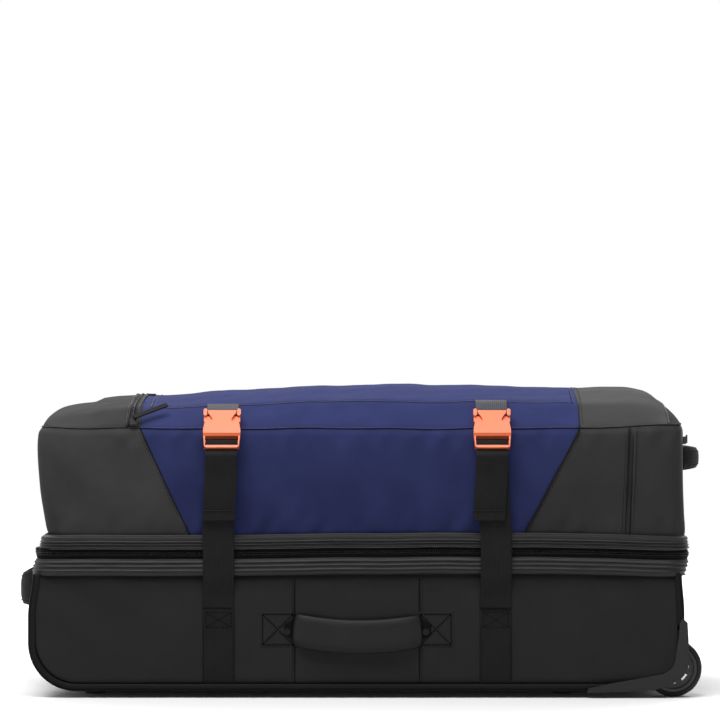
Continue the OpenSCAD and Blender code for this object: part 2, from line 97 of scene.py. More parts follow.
LEFT_R, RIGHT_R = 56.0, 30.0               # corners of the lower compartment, seen from the side
PANEL_INSET = 7.0      # of a side panel from the gusset's outline
SEAM_LEFT, SEAM_RIGHT = -77.0, 70.5        # X of the upright seams of the side panels
HANDLE_Z = (HAND_LO[2] + HAND_HI[2]) / 2
PATCH_Z = HANDLE_Z + 2.8
PATCH_LEFT, PATCH_RIGHT = -97.0, 89.5      # X of the stitched squares at the handle's ends
PATCH = 36.0           # their sides
SIDES = ((-1, "near"), (1, "far"))

# ---- numbers into shapes


def curve(*points):
    """A smooth function through (x, y) points that doesn't overshoot them."""
    px, py = np.array(points, float).T
    d = np.diff(py) / np.diff(px)
    both = d[1:] * d[:-1]
    mid = np.where(both > 0, 2 * both / np.where(both > 0, d[1:] + d[:-1], 1), 0)
    m = np.concatenate([[d[0]], mid, [d[-1]]])

    def at(x):
        x = np.clip(np.asarray(x, float), px[0], px[-1])
        i = np.clip(np.searchsorted(px, x) - 1, 0, len(px) - 2)
        h = px[i + 1] - px[i]
        t = (x - px[i]) / h
        start = (1 + 2 * t) * (1 - t) ** 2 * py[i] + t * (1 - t) ** 2 * h * m[i]
        return start + t * t * (3 - 2 * t) * py[i + 1] + t * t * (t - 1) * h * m[i + 1]

    return at


def smoothstep(a, b, x):
    t = np.clip((np.asarray(x, float) - a) / (b - a), 0, 1)
    return t * t * (3 - 2 * t)


def bell(d, width):
    return np.exp(-((np.asarray(d, float) / width) ** 2))


def ripple(u, v, seed, size, octaves=5):
    """Soft uneven cloth, about -1 to 1, with waves around size long."""
    rng = np.random.default_rng(seed)
    total = np.zeros(np.broadcast(u, v).shape)
    for k in range(octaves):
        a = rng.uniform(0, 2 * math.pi)
        f = 2 * math.pi / (size * rng.uniform(0.6, 1.6))
        total += np.sin((u * math.cos(a) + v * math.sin(a)) * f + rng.uniform(0, 6.28))
    return total / octaves ** 0.5 / 1.4


def spaced(first, *stretches):
    """Values from first on. Each stretch is its end and the number of even steps to it."""
    values = [first]
    for end, steps in stretches:
        values += list(np.linspace(values[-1], end, steps + 1)[1:])
    return np.array(values)


def grid(a, b):
    return np.meshgrid(a, b, indexing="ij")


def unit(v):
    return v / np.maximum(np.linalg.norm(v, axis=-1, keepdims=True), 1e-9)


def lengths(p):
    """Distance along a path at each of its points."""
    return np.concatenate([[0], np.cumsum(np.linalg.norm(np.diff(p, axis=0), axis=1))])


def tangents(p):
    return unit(np.gradient(p, axis=0))


def resample(points, step):
    points = np.asarray(points, float)
    d = lengths(points)
    at = np.linspace(0, d[-1], max(2, int(round(d[-1] / step)) + 1))
    return np.stack([np.interp(at, d, points[:, k]) for k in range(3)], 1)


def round_path(points, step, passes):
    """A path through given points, evened out and with its corners rounded."""
    p = resample(points, step)
    for _ in range(passes):
        p[1:-1] = (p[:-2] + 2 * p[1:-1] + p[2:]) / 4
    return p


# ---- meshes


@contextmanager
def editing(obj):
    """The object's mesh as a bmesh, written back at the end."""
    bm = bmesh.new()
    bm.from_mesh(obj.data)
    yield bm
    bm.to_mesh(obj.data)
    bm.free()


def new_object(name, data):
    obj = bpy.data.objects.new(name, data)
    bpy.context.scene.collection.objects.link(obj)
    return obj


def mesh_object(name, verts, faces, loop_uv, mats):
    mesh = bpy.data.meshes.new(name)
    mesh.from_pydata((np.asarray(verts) * 0.001).tolist(), [], faces)
    if loop_uv is not None:
        layer = mesh.uv_layers.new(name="UVMap")
        layer.data.foreach_set("uv", (np.asarray(loop_uv) * 0.001).ravel())
    for m in mats:
        mesh.materials.append(m)
    mesh.polygons.foreach_set("use_smooth", [True] * len(mesh.polygons))
    mesh.update()
    return new_object(name, mesh)


def grid_object(name, points, uv, mats, closed=False, skip=None):
    """A sheet over a grid of points (nu, nv, 3). closed joins the last row to the first."""
    nu, nv, _ = points.shape
    i, j = np.meshgrid(np.arange(nu if closed else nu - 1), np.arange(nv - 1), indexing="ij")
    i, j = i.ravel(), j.ravel()
    if skip is not None:
        keep = ~skip[i, j]
        i, j = i[keep], j[keep]
    ni = (i + 1) % nu
    quads = np.stack([i * nv + j, ni * nv + j, ni * nv + j + 1, i * nv + j + 1], 1)
    loop_uv = np.stack([uv[i, j], uv[i + 1, j], uv[i + 1, j + 1], uv[i, j + 1]], 1)
    return clean(mesh_object(name, points.reshape(-1, 3), quads.tolist(), loop_uv.reshape(-1, 2), mats))


def clean(obj):
    """Drop loose points and join doubles."""
    with editing(obj) as bm:
        bmesh.ops.delete(bm, geom=[v for v in bm.verts if not v.link_faces], context="VERTS")
        bmesh.ops.remove_doubles(bm, verts=bm.verts, dist=0.00002)
    return obj


def apply_modifiers(obj):
    deps = bpy.context.evaluated_depsgraph_get()
    mesh = bpy.data.meshes.new_from_object(obj.evaluated_get(deps))
    old = obj.data
    obj.modifiers.clear()
    obj.data = mesh
    mesh.name = obj.name
    bpy.data.meshes.remove(old)
    return obj


def thicken(obj, mm, inner_slot=0):
    """Give a sheet its thickness, towards its back. The back takes another material slot."""
    s = obj.modifiers.new("thickness", "SOLIDIFY")
    s.thickness = mm * 0.001
    s.offset = -1.0
    s.use_even_offset = False
    s.material_offset = inner_slot
    s.material_offset_rim = 0
    return apply_modifiers(obj)


def coords_mm(obj):
    return np.array([v.co for v in obj.data.vertices]) * 1000


def move_to(obj, coords):
    obj.data.vertices.foreach_set("co", (coords * 0.001).ravel())


def cut_by_plane(obj, point, normal):
    with editing(obj) as bm:
        bmesh.ops.bisect_plane(
            bm, geom=bm.verts[:] + bm.edges[:] + bm.faces[:], dist=0.00001,
            plane_co=np.array(point) * 0.001, plane_no=normal,
        )


def copy_of(obj, name):
    twin = obj.copy()
    twin.data = obj.data.copy()
    twin.name = twin.data.name = name
    bpy.context.scene.collection.objects.link(twin)
    return twin


def split_off(obj, name, keep):
    """A new object with the faces whose centre, in mm, passes keep. They leave obj."""
    part = copy_of(obj, name)
    for o, want in ((part, True), (obj, False)):
        with editing(o) as bm:
            gone = [f for f in bm.faces if bool(keep(f.calc_center_median() * 1000)) != want]
            bmesh.ops.delete(bm, geom=gone, context="FACES")
    return part


def mirrored(obj, name):
    """A copy of obj on the other side of the bag."""
    twin = copy_of(obj, name)
    twin.data.transform(Matrix.Scale(-1, 4, (0, 1, 0)))
    twin.data.flip_normals()
    return twin


def sweep(name, path, across, profile, mat):
    """A closed profile [(a, b)...] along a path: a runs along across, b away from the surface."""
    path = np.asarray(path, float)
    t = tangents(path)
    across = np.broadcast_to(np.asarray(across, float), path.shape)
    across = unit(across - t * np.sum(across * t, 1, keepdims=True))
    up = np.cross(across, t)
    prof = np.asarray(profile, float)
    pts = path[:, None] + across[:, None] * prof[None, :, :1] + up[:, None] * prof[None, :, 1:]
    n, m = len(path), len(prof)
    along, girth = lengths(path), lengths(np.append(prof, prof[:1], 0))
    i, j = np.meshgrid(np.arange(n - 1), np.arange(m), indexing="ij")
    i, j = i.ravel(), j.ravel()
    nj = (j + 1) % m
    faces = np.stack([i * m + j, (i + 1) * m + j, (i + 1) * m + nj, i * m + nj], 1).tolist()
    faces += [list(range(m)), [(n - 1) * m + k for k in range(m)][::-1]]
    corners = ((j, i), (j, i + 1), (j + 1, i + 1), (j + 1, i))
    uv = np.stack([np.stack([girth[a], along[b]], 1) for a, b in corners], 1).reshape(-1, 2)
    obj = mesh_object(name, pts.reshape(-1, 3), faces, np.concatenate([uv, prof, prof[::-1]]), [mat])
    with editing(obj) as bm:
        bmesh.ops.recalc_face_normals(bm, faces=bm.faces)
    return obj


def ribbon(name, path, w, t, mat, across=(1, 0, 0), crown=0.0):
    """Flat webbing w wide and t thick with soft edges, one face on the path."""
    r = t / 2
    edge = [(math.cos(a) * r, math.sin(a) * r) for a in np.linspace(-math.pi / 2, math.pi / 2, 6)]
    right = [(w / 2 - r + x, r + y) for x, y in edge]
    top = [(x, t + crown * (1 - (2 * x / w) ** 2)) for x in np.linspace(w / 2 - t, -w / 2 + t, 9)]
    left = [(-w / 2 + r - x, r - y) for x, y in edge]
    return sweep(name, path, across, right + top + left, mat)


def tube(name, path, r, mat, n=8):
    path = np.asarray(path, float)
    t = tangents(path)
    ref = np.eye(3)[2 - np.argmin(abs(t).max(0)[::-1])]      # the axis the path never runs along
    turns = np.linspace(0, 2 * math.pi, n, False)
    profile = [(r * math.cos(a), r * math.sin(a)) for a in turns]
    return sweep(name, path, np.cross(t, ref), profile, mat)


def stitch_run(path, normals, pitch, length, r, lift):
    """Points of a run of stitches along a path that lies on a surface, 16 to a stitch."""
    d = lengths(path)
    n = int(d[-1] // pitch)
    mid = (np.arange(n) + 0.5) * d[-1] / n

    def at(s, values):
        return np.stack([np.interp(s, d, values[:, k]) for k in range(3)], 1)

    a, b = at(mid - length / 2, path), at(mid + length / 2, path)
    up = unit(at(mid, np.broadcast_to(np.asarray(normals, float), path.shape)))
    side = np.cross(up, unit(b - a))
    verts = []
    for f, k, h in ((0.0, 0.35, -0.25), (0.25, 1.0, lift), (0.75, 1.0, lift), (1.0, 0.35, -0.25)):
        c = a + (b - a) * f + up * h
        verts += [c + r * k * side, c + r * k * up, c - r * k * side, c - r * k * 0.6 * up]
    return np.stack(verts, 1).reshape(-1, 3)


def stitches(name, runs, mat, pitch=4.0, length=2.9, r=0.42, lift=0.25):
    """One object of several runs of stitches, each (path, normals)."""
    verts = np.concatenate([stitch_run(*run, pitch, length, r, lift) for run in runs])
    stitch = [[4 * q + p, 4 * q + (p + 1) % 4, 4 * q + 4 + (p + 1) % 4, 4 * q + 4 + p]
              for q in range(3) for p in range(4)] + [[3, 2, 1, 0], [12, 13, 14, 15]]
    faces = [[first + v for v in face] for first in range(0, len(verts), 16) for face in stitch]
    return mesh_object(name, verts, faces, None, [mat])


def put(obj, body, node=None):
    """Let a piece ride on a body and stand for a CAD node."""
    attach(obj, body)
    if node:
        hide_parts(node)
    return obj


def put_pair(obj, far_name, body, far_body=None, node=None, far_node=None):
    """Put a piece on the near side and its mirror image on the far side."""
    far = mirrored(obj, far_name)
    put(obj, body, node)
    put(far, far_body or body, far_node)
# ---- materials


class Nodes:
    """A node tree, with short ways to join its nodes."""

    def __init__(self, tree):
        self.tree = tree

    def join(self, socket, value):
        if isinstance(value, bpy.types.NodeSocket):
            self.tree.links.new(value, socket)
        else:
            socket.default_value = value

    def node(self, kind, inputs=None, **settings):
        n = self.tree.nodes.new(kind)
        for key, value in settings.items():
            setattr(n, key, value)
        for key, value in (inputs or {}).items():
            self.join(n.inputs[key], value)
        return n

    def coords(self, kind, scale=(1, 1, 1), turn=0.0):
        source = self.node("ShaderNodeTexCoord").outputs[kind]
        inputs = {"Vector": source, "Scale": scale, "Rotation": (0, 0, turn)}
        return self.node("ShaderNodeMapping", inputs).outputs["Vector"]

    def math(self, op, a, b=0.0):
        return self.node("ShaderNodeMath", {0: a, 1: b}, operation=op).outputs[0]

    def blend(self, a, b, share):
        """share of a and the rest of b."""
        return self.math("ADD", self.math("MULTIPLY", a, share), self.math("MULTIPLY", b, 1 - share))

    def noise(self, vector, scale, detail=3.0, rough=0.6):
        inputs = {"Vector": vector, "Scale": scale, "Detail": detail, "Roughness": rough}
        return self.node("ShaderNodeTexNoise", inputs).outputs["Fac"]

    def bands(self, vector, period_mm, axis):
        inputs = {"Vector": vector, "Scale": 314.16 / period_mm}
        return self.node("ShaderNodeTexWave", inputs, bands_direction=axis).outputs["Fac"]

    def ramp(self, fac, low, high, a, b, **settings):
        inputs = {"Value": fac, "From Min": a, "From Max": b, "To Min": low, "To Max": high}
        return self.node("ShaderNodeMapRange", inputs, **settings).outputs["Result"]

    def mix(self, fac, a, b):
        m = self.node("ShaderNodeMix", data_type="RGBA", clamp_factor=True)
        self.join(m.inputs["Factor"], fac)
        colours = {i.name: i for i in m.inputs if i.type == "RGBA"}
        for key, value in (("A", a), ("B", b)):
            self.join(colours[key], (*value, 1) if isinstance(value, tuple) else value)
        return [o for o in m.outputs if o.type == "RGBA"][0]


class Shader(Nodes):
    """A material's nodes."""

    def __init__(self, name, colour, rough, **sockets):
        self.mat = bpy.data.materials.new(name)
        self.mat.use_nodes = True
        super().__init__(self.mat.node_tree)
        self.inputs = self.tree.nodes["Principled BSDF"].inputs
        self.inputs["Base Color"].default_value = (*colour, 1)
        self.inputs["Roughness"].default_value = rough
        for key, value in sockets.items():
            self.inputs[key.replace("_", " ")].default_value = value

    def colour(self, socket):
        self.join(self.inputs["Base Color"], socket)

    def rough(self, fac, low, high, a=0.3, b=0.7):
        self.join(self.inputs["Roughness"], self.ramp(fac, low, high, a, b))

    def bump(self, height, mm, strength=1.0, under=None):
        b = self.node("ShaderNodeBump", {"Height": height, "Distance": mm * 0.001, "Strength": strength})
        if under is not None:
            self.join(b.inputs["Normal"], under)
        self.join(self.inputs["Normal"], b.outputs[0])
        return b.outputs[0]


def shade(c, k):
    return tuple(min(1.0, x * k) for x in c)


def woven(name, colour, rough, spec=0.5, period=0.9, depth=0.10, contrast=0.25, sheen=0.0,
          twill=False, kind="UV"):
    """Woven cloth: crossing threads, uneven dye and a little fuzz."""
    s = Shader(name, colour, rough, Sheen_Weight=sheen, Sheen_Roughness=0.5, Specular_IOR_Level=spec)
    v = s.coords(kind, turn=math.radians(32) if twill else 0.0)
    plain = s.coords(kind)
    crossing = s.bands(v, period * (2.2 if twill else 1.0), "Y")
    threads = s.math("MULTIPLY", s.bands(v, period, "X"), s.ramp(crossing, 0.45, 1.0, 0, 1))
    cloud = s.noise(plain, 22, 4.0)
    body = s.blend(threads, s.noise(plain, 2600, 2.0), 0.7)
    cloth = s.mix(body, shade(colour, 1 - contrast), shade(colour, 1 + contrast))
    s.colour(s.mix(s.ramp(cloud, 0.0, 0.4, 0.45, 0.75), cloth, shade(colour, 1.35)))
    s.rough(cloud, rough - 0.05, rough + 0.05)
    s.bump(s.noise(plain, 95), 0.35, 0.5, s.bump(threads, depth))
    return s.mat


def nylon(name, colour, spec, rough=0.6, twill=False):
    return woven(name, colour, rough, spec, 0.8, 0.06, 0.16, twill=twill)


def coated(name, colour):
    """Coated cloth: a fine plain weave showing through a thin matt film, with soft scuffs."""
    s = Shader(name, colour, 0.42, Specular_IOR_Level=0.16)
    v = s.coords("UV")
    weave = s.math("MULTIPLY", s.bands(v, 0.7, "X"), s.bands(v, 0.7, "Y"))
    scuff = s.noise(s.coords("UV", (1, 6, 1), 0.4), 60, 6.0, 0.7)
    base = s.mix(s.ramp(s.noise(v, 14, 5.0), 0, 1, 0.3, 0.7), shade(colour, 0.85), shade(colour, 1.15))
    s.colour(s.mix(s.ramp(scuff, 0, 0.35, 0.62, 0.8), base, shade(colour, 1.8)))
    s.rough(scuff, 0.35, 0.5, 0.35, 0.75)
    s.bump(s.noise(v, 70, 4.0), 0.4, 0.5, s.bump(weave, 0.05))
    return s.mat


def webbing(name, colour, rib=2.4):
    """Webbing: ribs along its length, crossed by fine threads in a herringbone."""
    s = Shader(name, colour, 0.72, Specular_IOR_Level=0.15)
    v = s.coords("UV")
    cross = s.bands(s.coords("UV", turn=math.radians(38)), 1.1, "Y")
    height = s.blend(s.bands(v, rib, "X"), cross, 0.65)
    s.colour(s.mix(height, shade(colour, 0.6), shade(colour, 1.4)))
    s.rough(s.noise(v, 40), 0.66, 0.78)
    s.bump(height, 0.22)
    return s.mat


def moulded(name, colour, rough, grain=0.08, fineness=1400, spec=0.5):
    """Moulded plastic: a fine spark-eroded grain, slightly uneven gloss and rubbed highlights."""
    s = Shader(name, colour, rough, Specular_IOR_Level=spec)
    v = s.coords("Object")
    cloud = s.noise(v, 30, 4.0)
    s.colour(s.mix(s.ramp(cloud, 0, 1, 0.35, 0.7), shade(colour, 0.9), shade(colour, 1.12)))
    s.rough(cloud, rough - 0.06, rough + 0.08)
    s.bump(s.noise(v, fineness, 2.0), grain)
    return s.mat


def metal(name, colour, rough):
    s = Shader(name, colour, rough, Metallic=1.0)
    lines = s.noise(s.coords("Object", (1, 40, 40)), 60, 4.0)
    s.colour(s.mix(s.ramp(lines, 0, 1, 0.3, 0.7), shade(colour, 0.88), shade(colour, 1.08)))
    s.rough(lines, rough - 0.08, rough + 0.1)
    s.bump(lines, 0.02)
    return s.mat


def ribbed_tape(name, colour, rough, pitch):
    """Zip tape and coil: fine herringbone."""
    s = Shader(name, colour, rough, Specular_IOR_Level=0.06)
    v = s.coords("UV")
    h = s.blend(s.bands(v, pitch, "X"), s.bands(v, pitch * 0.8, "Y"), 0.5)
    s.colour(s.mix(h, shade(colour, 0.6), shade(colour, 1.35)))
    s.rough(s.noise(v, 50), rough - 0.05, rough + 0.05)
    s.bump(h, 0.15)
    return s.mat


LINING = (0.16, 0.16, 0.165)
M_BLUE = nylon("blue_twill", (0.031, 0.038, 0.118), 0.01, 0.62, True)
M_BLACK = nylon("black_nylon", (0.054, 0.054, 0.054), 0.02)
# a darker copy of the black nylon for the wheel end's walls: the darker tone is painted shade
M_END_SHADED = nylon("end_nylon_shaded", (0.036, 0.036, 0.0365), 0.1)
M_CAP = nylon("end_pocket_nylon", (0.02, 0.02, 0.0205), 0.02)
M_POCKET = nylon("quick_pocket_nylon", (0.036, 0.036, 0.0365), 0.02)
M_COATED = coated("black_coated", (0.0145, 0.0145, 0.015))
# the panel's coated cloth made lighter for the side handle's pad: the extra lightness is painted light
M_HANDLE_LIT = coated("handle_coated_lit", (0.019, 0.019, 0.0195))
M_BAND = woven("band_tape", (0.017, 0.017, 0.0175), 0.5, 0.3, 1.2)
M_PIPING = woven("piping_cloth", (0.011, 0.011, 0.0115), 0.5, 0.1, 0.7, 0.12)
M_PIPING_BLUE = woven("blue_piping_cloth", (0.012, 0.015, 0.055), 0.55, 0.25, 0.7, sheen=0.02)
M_GIMP = ribbed_tape("edge_gimp", (0.012, 0.012, 0.0125), 0.5, 1.5)
M_TAPE = ribbed_tape("zip_tape", (0.006, 0.006, 0.0065), 0.65, 1.3)
M_WEB = webbing("black_webbing", (0.011, 0.011, 0.0115))
M_WEB_GREY = webbing("grey_webbing", (0.05, 0.051, 0.062))
M_PULL = webbing("pull_tape", (0.016, 0.016, 0.0165), 1.6)
M_LINING = woven("lining", LINING, 0.7, depth=0.06, sheen=0.1)
M_LINING_BOARD = woven("lining_board", LINING, 0.7, depth=0.06, sheen=0.1, kind="Object")
M_THREAD = woven("black_thread", (0.004, 0.004, 0.0042), 0.6, 0.04, 0.4, 0.03, kind="Object")
M_THREAD_BLUE = woven("blue_thread", (0.016, 0.02, 0.08), 0.5, period=0.4, depth=0.03, kind="Object")
M_ORANGE = moulded("orange_acetal", (1.0, 0.2, 0.062), 0.36, 0.02, 900)
M_MOULD = moulded("black_moulding", (0.0108, 0.0108, 0.0112), 0.42, 0.05, 1200, 0.35)
M_BOARD = moulded("black_board", (0.01, 0.01, 0.0105), 0.7, 0.1, 500, 0.2)
M_HUB = moulded("hub_plastic", (0.010, 0.010, 0.0105), 0.3, 0.02, spec=0.45)
M_TYRE = moulded("tyre_rubber", (0.007, 0.007, 0.007), 0.6, 0.08, 700, 0.3)
M_GRIP = moulded("soft_grip", (0.014, 0.014, 0.015), 0.55, 0.1, 900)
M_STEEL = metal("plated_steel", (0.55, 0.55, 0.56), 0.28)
M_GUN = metal("gunmetal", (0.055, 0.055, 0.058), 0.3)
M_RIVET = metal("black_rivet", (0.014, 0.014, 0.0145), 0.16)
M_ALU = metal("anodised_tube", (0.7, 0.7, 0.71), 0.32)

# ---- the upper compartment's form

LEFT_X = curve((190, -370), (216, -376), (249, -380.5), (292, -382), (312, -380.5), (322, -377))
RIGHT_X = curve((190, 384), (230, 382.5), (290, 381), (322, 380))
HALF = curve((190, 180), (215, 182), (255, 183), (292, 181.5), (312, 179), (322, 177))
TOP_START, TOP_END = -383.0, 388.0         # X where the top's curve meets the shoulder
ALONG = curve(
    (TOP_START, 0.0), (-379, 0.21), (-374, 0.31), (-367, 0.40), (-349, 0.51), (-337, 0.56),
    (-321, 0.60), (-316, 0.66), (-281, 0.71), (-255, 0.725), (-236, 0.735), (-198, 0.79),
    (-148, 0.865), (0, 0.98), (57, 1.0), (142, 0.965), (246, 0.91), (290, 0.90), (322, 0.865),
    (346, 0.77), (357, 0.65), (367, 0.47), (377, 0.31), (385, 0.12), (TOP_END, 0.0),
)
ACROSS = curve((0, 1.0), (0.34, 0.93), (0.56, 0.80), (0.757, 0.635), (0.86, 0.40), (1, 0.0))
END_SEAM = 366.0       # X of the seam round the wheel end's pocket
GROOVE_FOOT, GROOVE_TOP = 315.5, 321.0     # X of the upright seam at the wheel end
SIDE_N, CORNER_N, END_N = 260, 12, 80      # points along a side, a corner and an end


def bow(x):
    """How far the bands' lines rise above straight, along the bag."""
    return 2.4 * smoothstep(-170, 40, x) - 3.2 * smoothstep(215, 382, x)


def shoulder(x):
    """Height of the shoulder seam."""
    waver = 0.9 * np.sin(x / 23 + 1.0) * np.sin(x / 59)
    return SHOULDER_Z + waver + 4.5 * smoothstep(235, 375, x) + 1.6 * smoothstep(-320, -376, x)


def groove_x(f):
    """X of the upright seam at a share of the wall's height."""
    return GROOVE_FOOT + (GROOVE_TOP - GROOVE_FOOT) * f


def ring(xl, xr, w, rl, rr, n_side=SIDE_N, n_corner=CORNER_N, n_end=END_N):
    """A rounded rectangle from its near left, anticlockwise seen from above, with its normals."""
    centres = np.array([(xr - rr, rr - w), (xr - rr, w - rr), (xl + rl, w - rl), (xl + rl, rl - w)])
    radii = (rr, rr, rl, rl)
    points, outwards = [], []
    for k, n in enumerate(np.array([(0, -1), (1, 0), (0, 1), (-1, 0)], float)):
        a, b = centres[k - 1] + radii[k - 1] * n, centres[k] + radii[k] * n
        t = np.linspace(0, 1, (n_side, n_end)[k % 2], endpoint=False)[:, None]
        turn = np.radians(90 * (k - 1 + np.linspace(0, 1, n_corner, endpoint=False)))
        arc = np.stack([np.cos(turn), np.sin(turn)], 1)
        points += [a + t * (b - a), centres[k] + radii[k] * arc]
        outwards += [np.tile(n, (len(t), 1)), arc]
    return np.concatenate(points), np.concatenate(outwards)


def wall_ring(z_frac, lift=0.0):
    """Points round the upper compartment's wall at a share of its height, raised by lift."""
    z0 = BAND_TOP - 1 + z_frac * (SHOULDER_Z + 1 - BAND_TOP)
    p, n = ring(LEFT_X(z0), RIGHT_X(z0), HALF(z0), 34.0, 15.0)
    x, y = p.T
    z = BAND_TOP - 1 + bow(x) + z_frac * (shoulder(x) - BAND_TOP + 1 - bow(x))
    swell = math.sin(math.pi * z_frac) ** 0.8 if 0 < z_frac < 1 else 0.0
    side = 1.6 * (1 - (x / 385) ** 2) * swell * n[:, 1] ** 2
    grow = np.where(n[:, 0] < 0, 0.8 + 4.4 * z_frac, 3.0 + 7.4 * z_frac)
    end = grow * (1 - (y / 182) ** 2) * n[:, 0] ** 2
    long_side = abs(n[:, 1]) > 0.9
    fold = (0.6 + 1.4 * long_side) * ripple(x + 0.4 * y, z * 0.8, 3, 120) * swell
    fold += (0.4 + 1.5 * long_side) * ripple(x + y, z * 0.5, 8, 62) * swell
    pressed = smoothstep(0.35, 1.0, z_frac) * long_side
    for strap_x in (LEFT_BUCKLE, RIGHT_BUCKLE):
        fold -= 1.4 * bell(x - strap_x, 34) * pressed
        fold += 0.8 * bell(x - strap_x, 60) * pressed * ripple(x, z * 0.5, 27, 30)
    pucker = 1.1 * bell(z_frac - 0.08, 0.1) + (0.6 + 0.9 * long_side) * bell(z_frac - 0.92, 0.08)
    fold += pucker * ripple(x + y, z * 0.3, 17, 26)
    tuck = 2.4 * bell(1 - z_frac, 0.035) + 1.6 * bell(z_frac, 0.03)
    d = x - groove_x(z_frac)
    seam = (2.6 * bell(d, 2.0) - 0.9 * bell(d - 4.6, 1.5) - 0.9 * bell(d + 4.6, 1.5)) * long_side
    out = side + end + fold - tuck - seam + lift
    return np.stack([x + n[:, 0] * out, y + n[:, 1] * out, z], 1)


WALL_LEVELS = spaced(0, (0.06, 4), (0.9, 21), (1, 9))
WALL = np.stack([wall_ring(f) for f in WALL_LEVELS], 1)      # (round, up, 3)
RIM = WALL[:, -1]
RIM_RIGHT = RIM[SIDE_N:SIDE_N + 2 * CORNER_N + END_N + 1]
RIM_LEFT = np.roll(RIM, -(2 * SIDE_N + 2 * CORNER_N + END_N), 0)[:2 * CORNER_N + END_N + 1][::-1]
TOP_HALF = -RIM[SIDE_N // 2, 1]


def top_ends(y):
    """X of the top's pull end and wheel end at y."""
    return [np.interp(y, rim[:, 1], rim[:, 0]) for rim in (RIM_LEFT, RIM_RIGHT)]


def top_height(x, y):
    """Height of the crowned top, with the edges of its curve drawn to where the rim is at y."""
    x, y = np.broadcast_arrays(np.asarray(x, float), np.asarray(y, float))
    y = np.clip(y, -TOP_HALF, TOP_HALF)
    xl, xr = top_ends(y)
    even = x + (TOP_START - xl) * (1 - smoothstep(0, 150, x - xl))
    even += (TOP_END - xr) * (1 - smoothstep(0, 110, xr - x))
    v = abs(y) / TOP_HALF
    z = shoulder(x) + RISE * ALONG(even) * ACROSS(v)
    soft = np.clip((1 - v) * 6, 0, 1) * smoothstep(0, 22, x - xl) * smoothstep(0, 22, xr - x)
    z += 0.7 * ripple(x, y * 1.4, 21, 150) * soft + 0.5 * ripple(x, y, 5, 48) * soft
    z += 0.6 * bell(v - 0.93, 0.06) * ripple(x, y * 0.3, 19, 24) * soft
    crease = smoothstep(120, 235, x) * (1 - smoothstep(248, 258, x)) * bell(abs(y) - 128, 16)
    z += 0.45 * crease * np.sin(y * 0.85 + 1.5 * np.sin(x * 0.02)) * soft
    return z - 1.6 * bell(1 - v, 0.022)


def on_top(x, y, lift=0.0):
    """Points on the top of the bag and the normals there."""
    x, y = np.broadcast_arrays(np.asarray(x, float), np.asarray(y, float))
    e = 1.5
    dx = (top_height(x + e, y) - top_height(x - e, y)) / (2 * e)
    dy = (top_height(x, y + e) - top_height(x, y - e)) / (2 * e)
    n = unit(np.stack([-dx, -dy, np.ones_like(dx)], -1))
    return np.stack([x, y, top_height(x, y)], -1) + n * lift, n


def on_wall(x, z, lift, side):
    """Points on the near (-1) or far (1) wall of the upper compartment, raised from it."""
    rows = WALL[:SIDE_N]
    out = []
    for xx, zz in zip(x, z):
        i = int(np.clip(np.searchsorted(rows[:, 12, 0], xx), 1, SIDE_N - 1))
        f = (xx - rows[i - 1, 12, 0]) / (rows[i, 12, 0] - rows[i - 1, 12, 0])
        col = rows[i - 1] * (1 - f) + rows[i] * f
        out.append((xx, -side * (np.interp(zz, col[:, 2], col[:, 1]) - lift), zz))
    return np.array(out)


def blue_edge(end, z):
    """X of the blue side panel's slanted edge at a height."""
    foot = BLUE_MID + end * BLUE_FOOT
    return foot + (end * BLUE_X - foot) * (z - BAND_TOP) / (SHOULDER_Z - BAND_TOP)


def build_walls():
    along = lengths(WALL[:, 12])
    uv = np.zeros((len(WALL) + 1, len(WALL_LEVELS), 2))
    uv[:, :, 0] = np.append(along, along[-1] + 3.8)[:, None]
    uv[:, :, 1] = np.append(WALL[:, :, 2], WALL[:1, :, 2], 0)
    wall = grid_object("upper_wall_wheel_end", WALL, uv, [M_END_SHADED, M_LINING], closed=True)
    for end in (-1, 1):
        foot = BLUE_MID + end * BLUE_FOOT
        cut_by_plane(wall, (foot, 0, BAND_TOP), (SHOULDER_Z - BAND_TOP, 0, foot - end * BLUE_X))
    blue = split_off(wall, "upper_wall_blue", lambda c: blue_edge(-1, c[2]) < c[0] < blue_edge(1, c[2]))
    pull = split_off(wall, "upper_wall_pull_end", lambda c: c[0] < 0)
    # the wheel end's walls take the darker nylon, whose darker tone is painted shade
    for o, mat, slot, node in (
        (wall, M_END_SHADED, "nylon_black", "upper_wheel_end"),
        (blue, M_BLUE, "nylon_blue", "upper_centre_panels"),
        (pull, M_BLACK, "nylon_black", "upper_pull_end"),
    ):
        o.data.materials[0] = mat
        put(thicken(clean(o), WALL_T, 1), "upper", node)


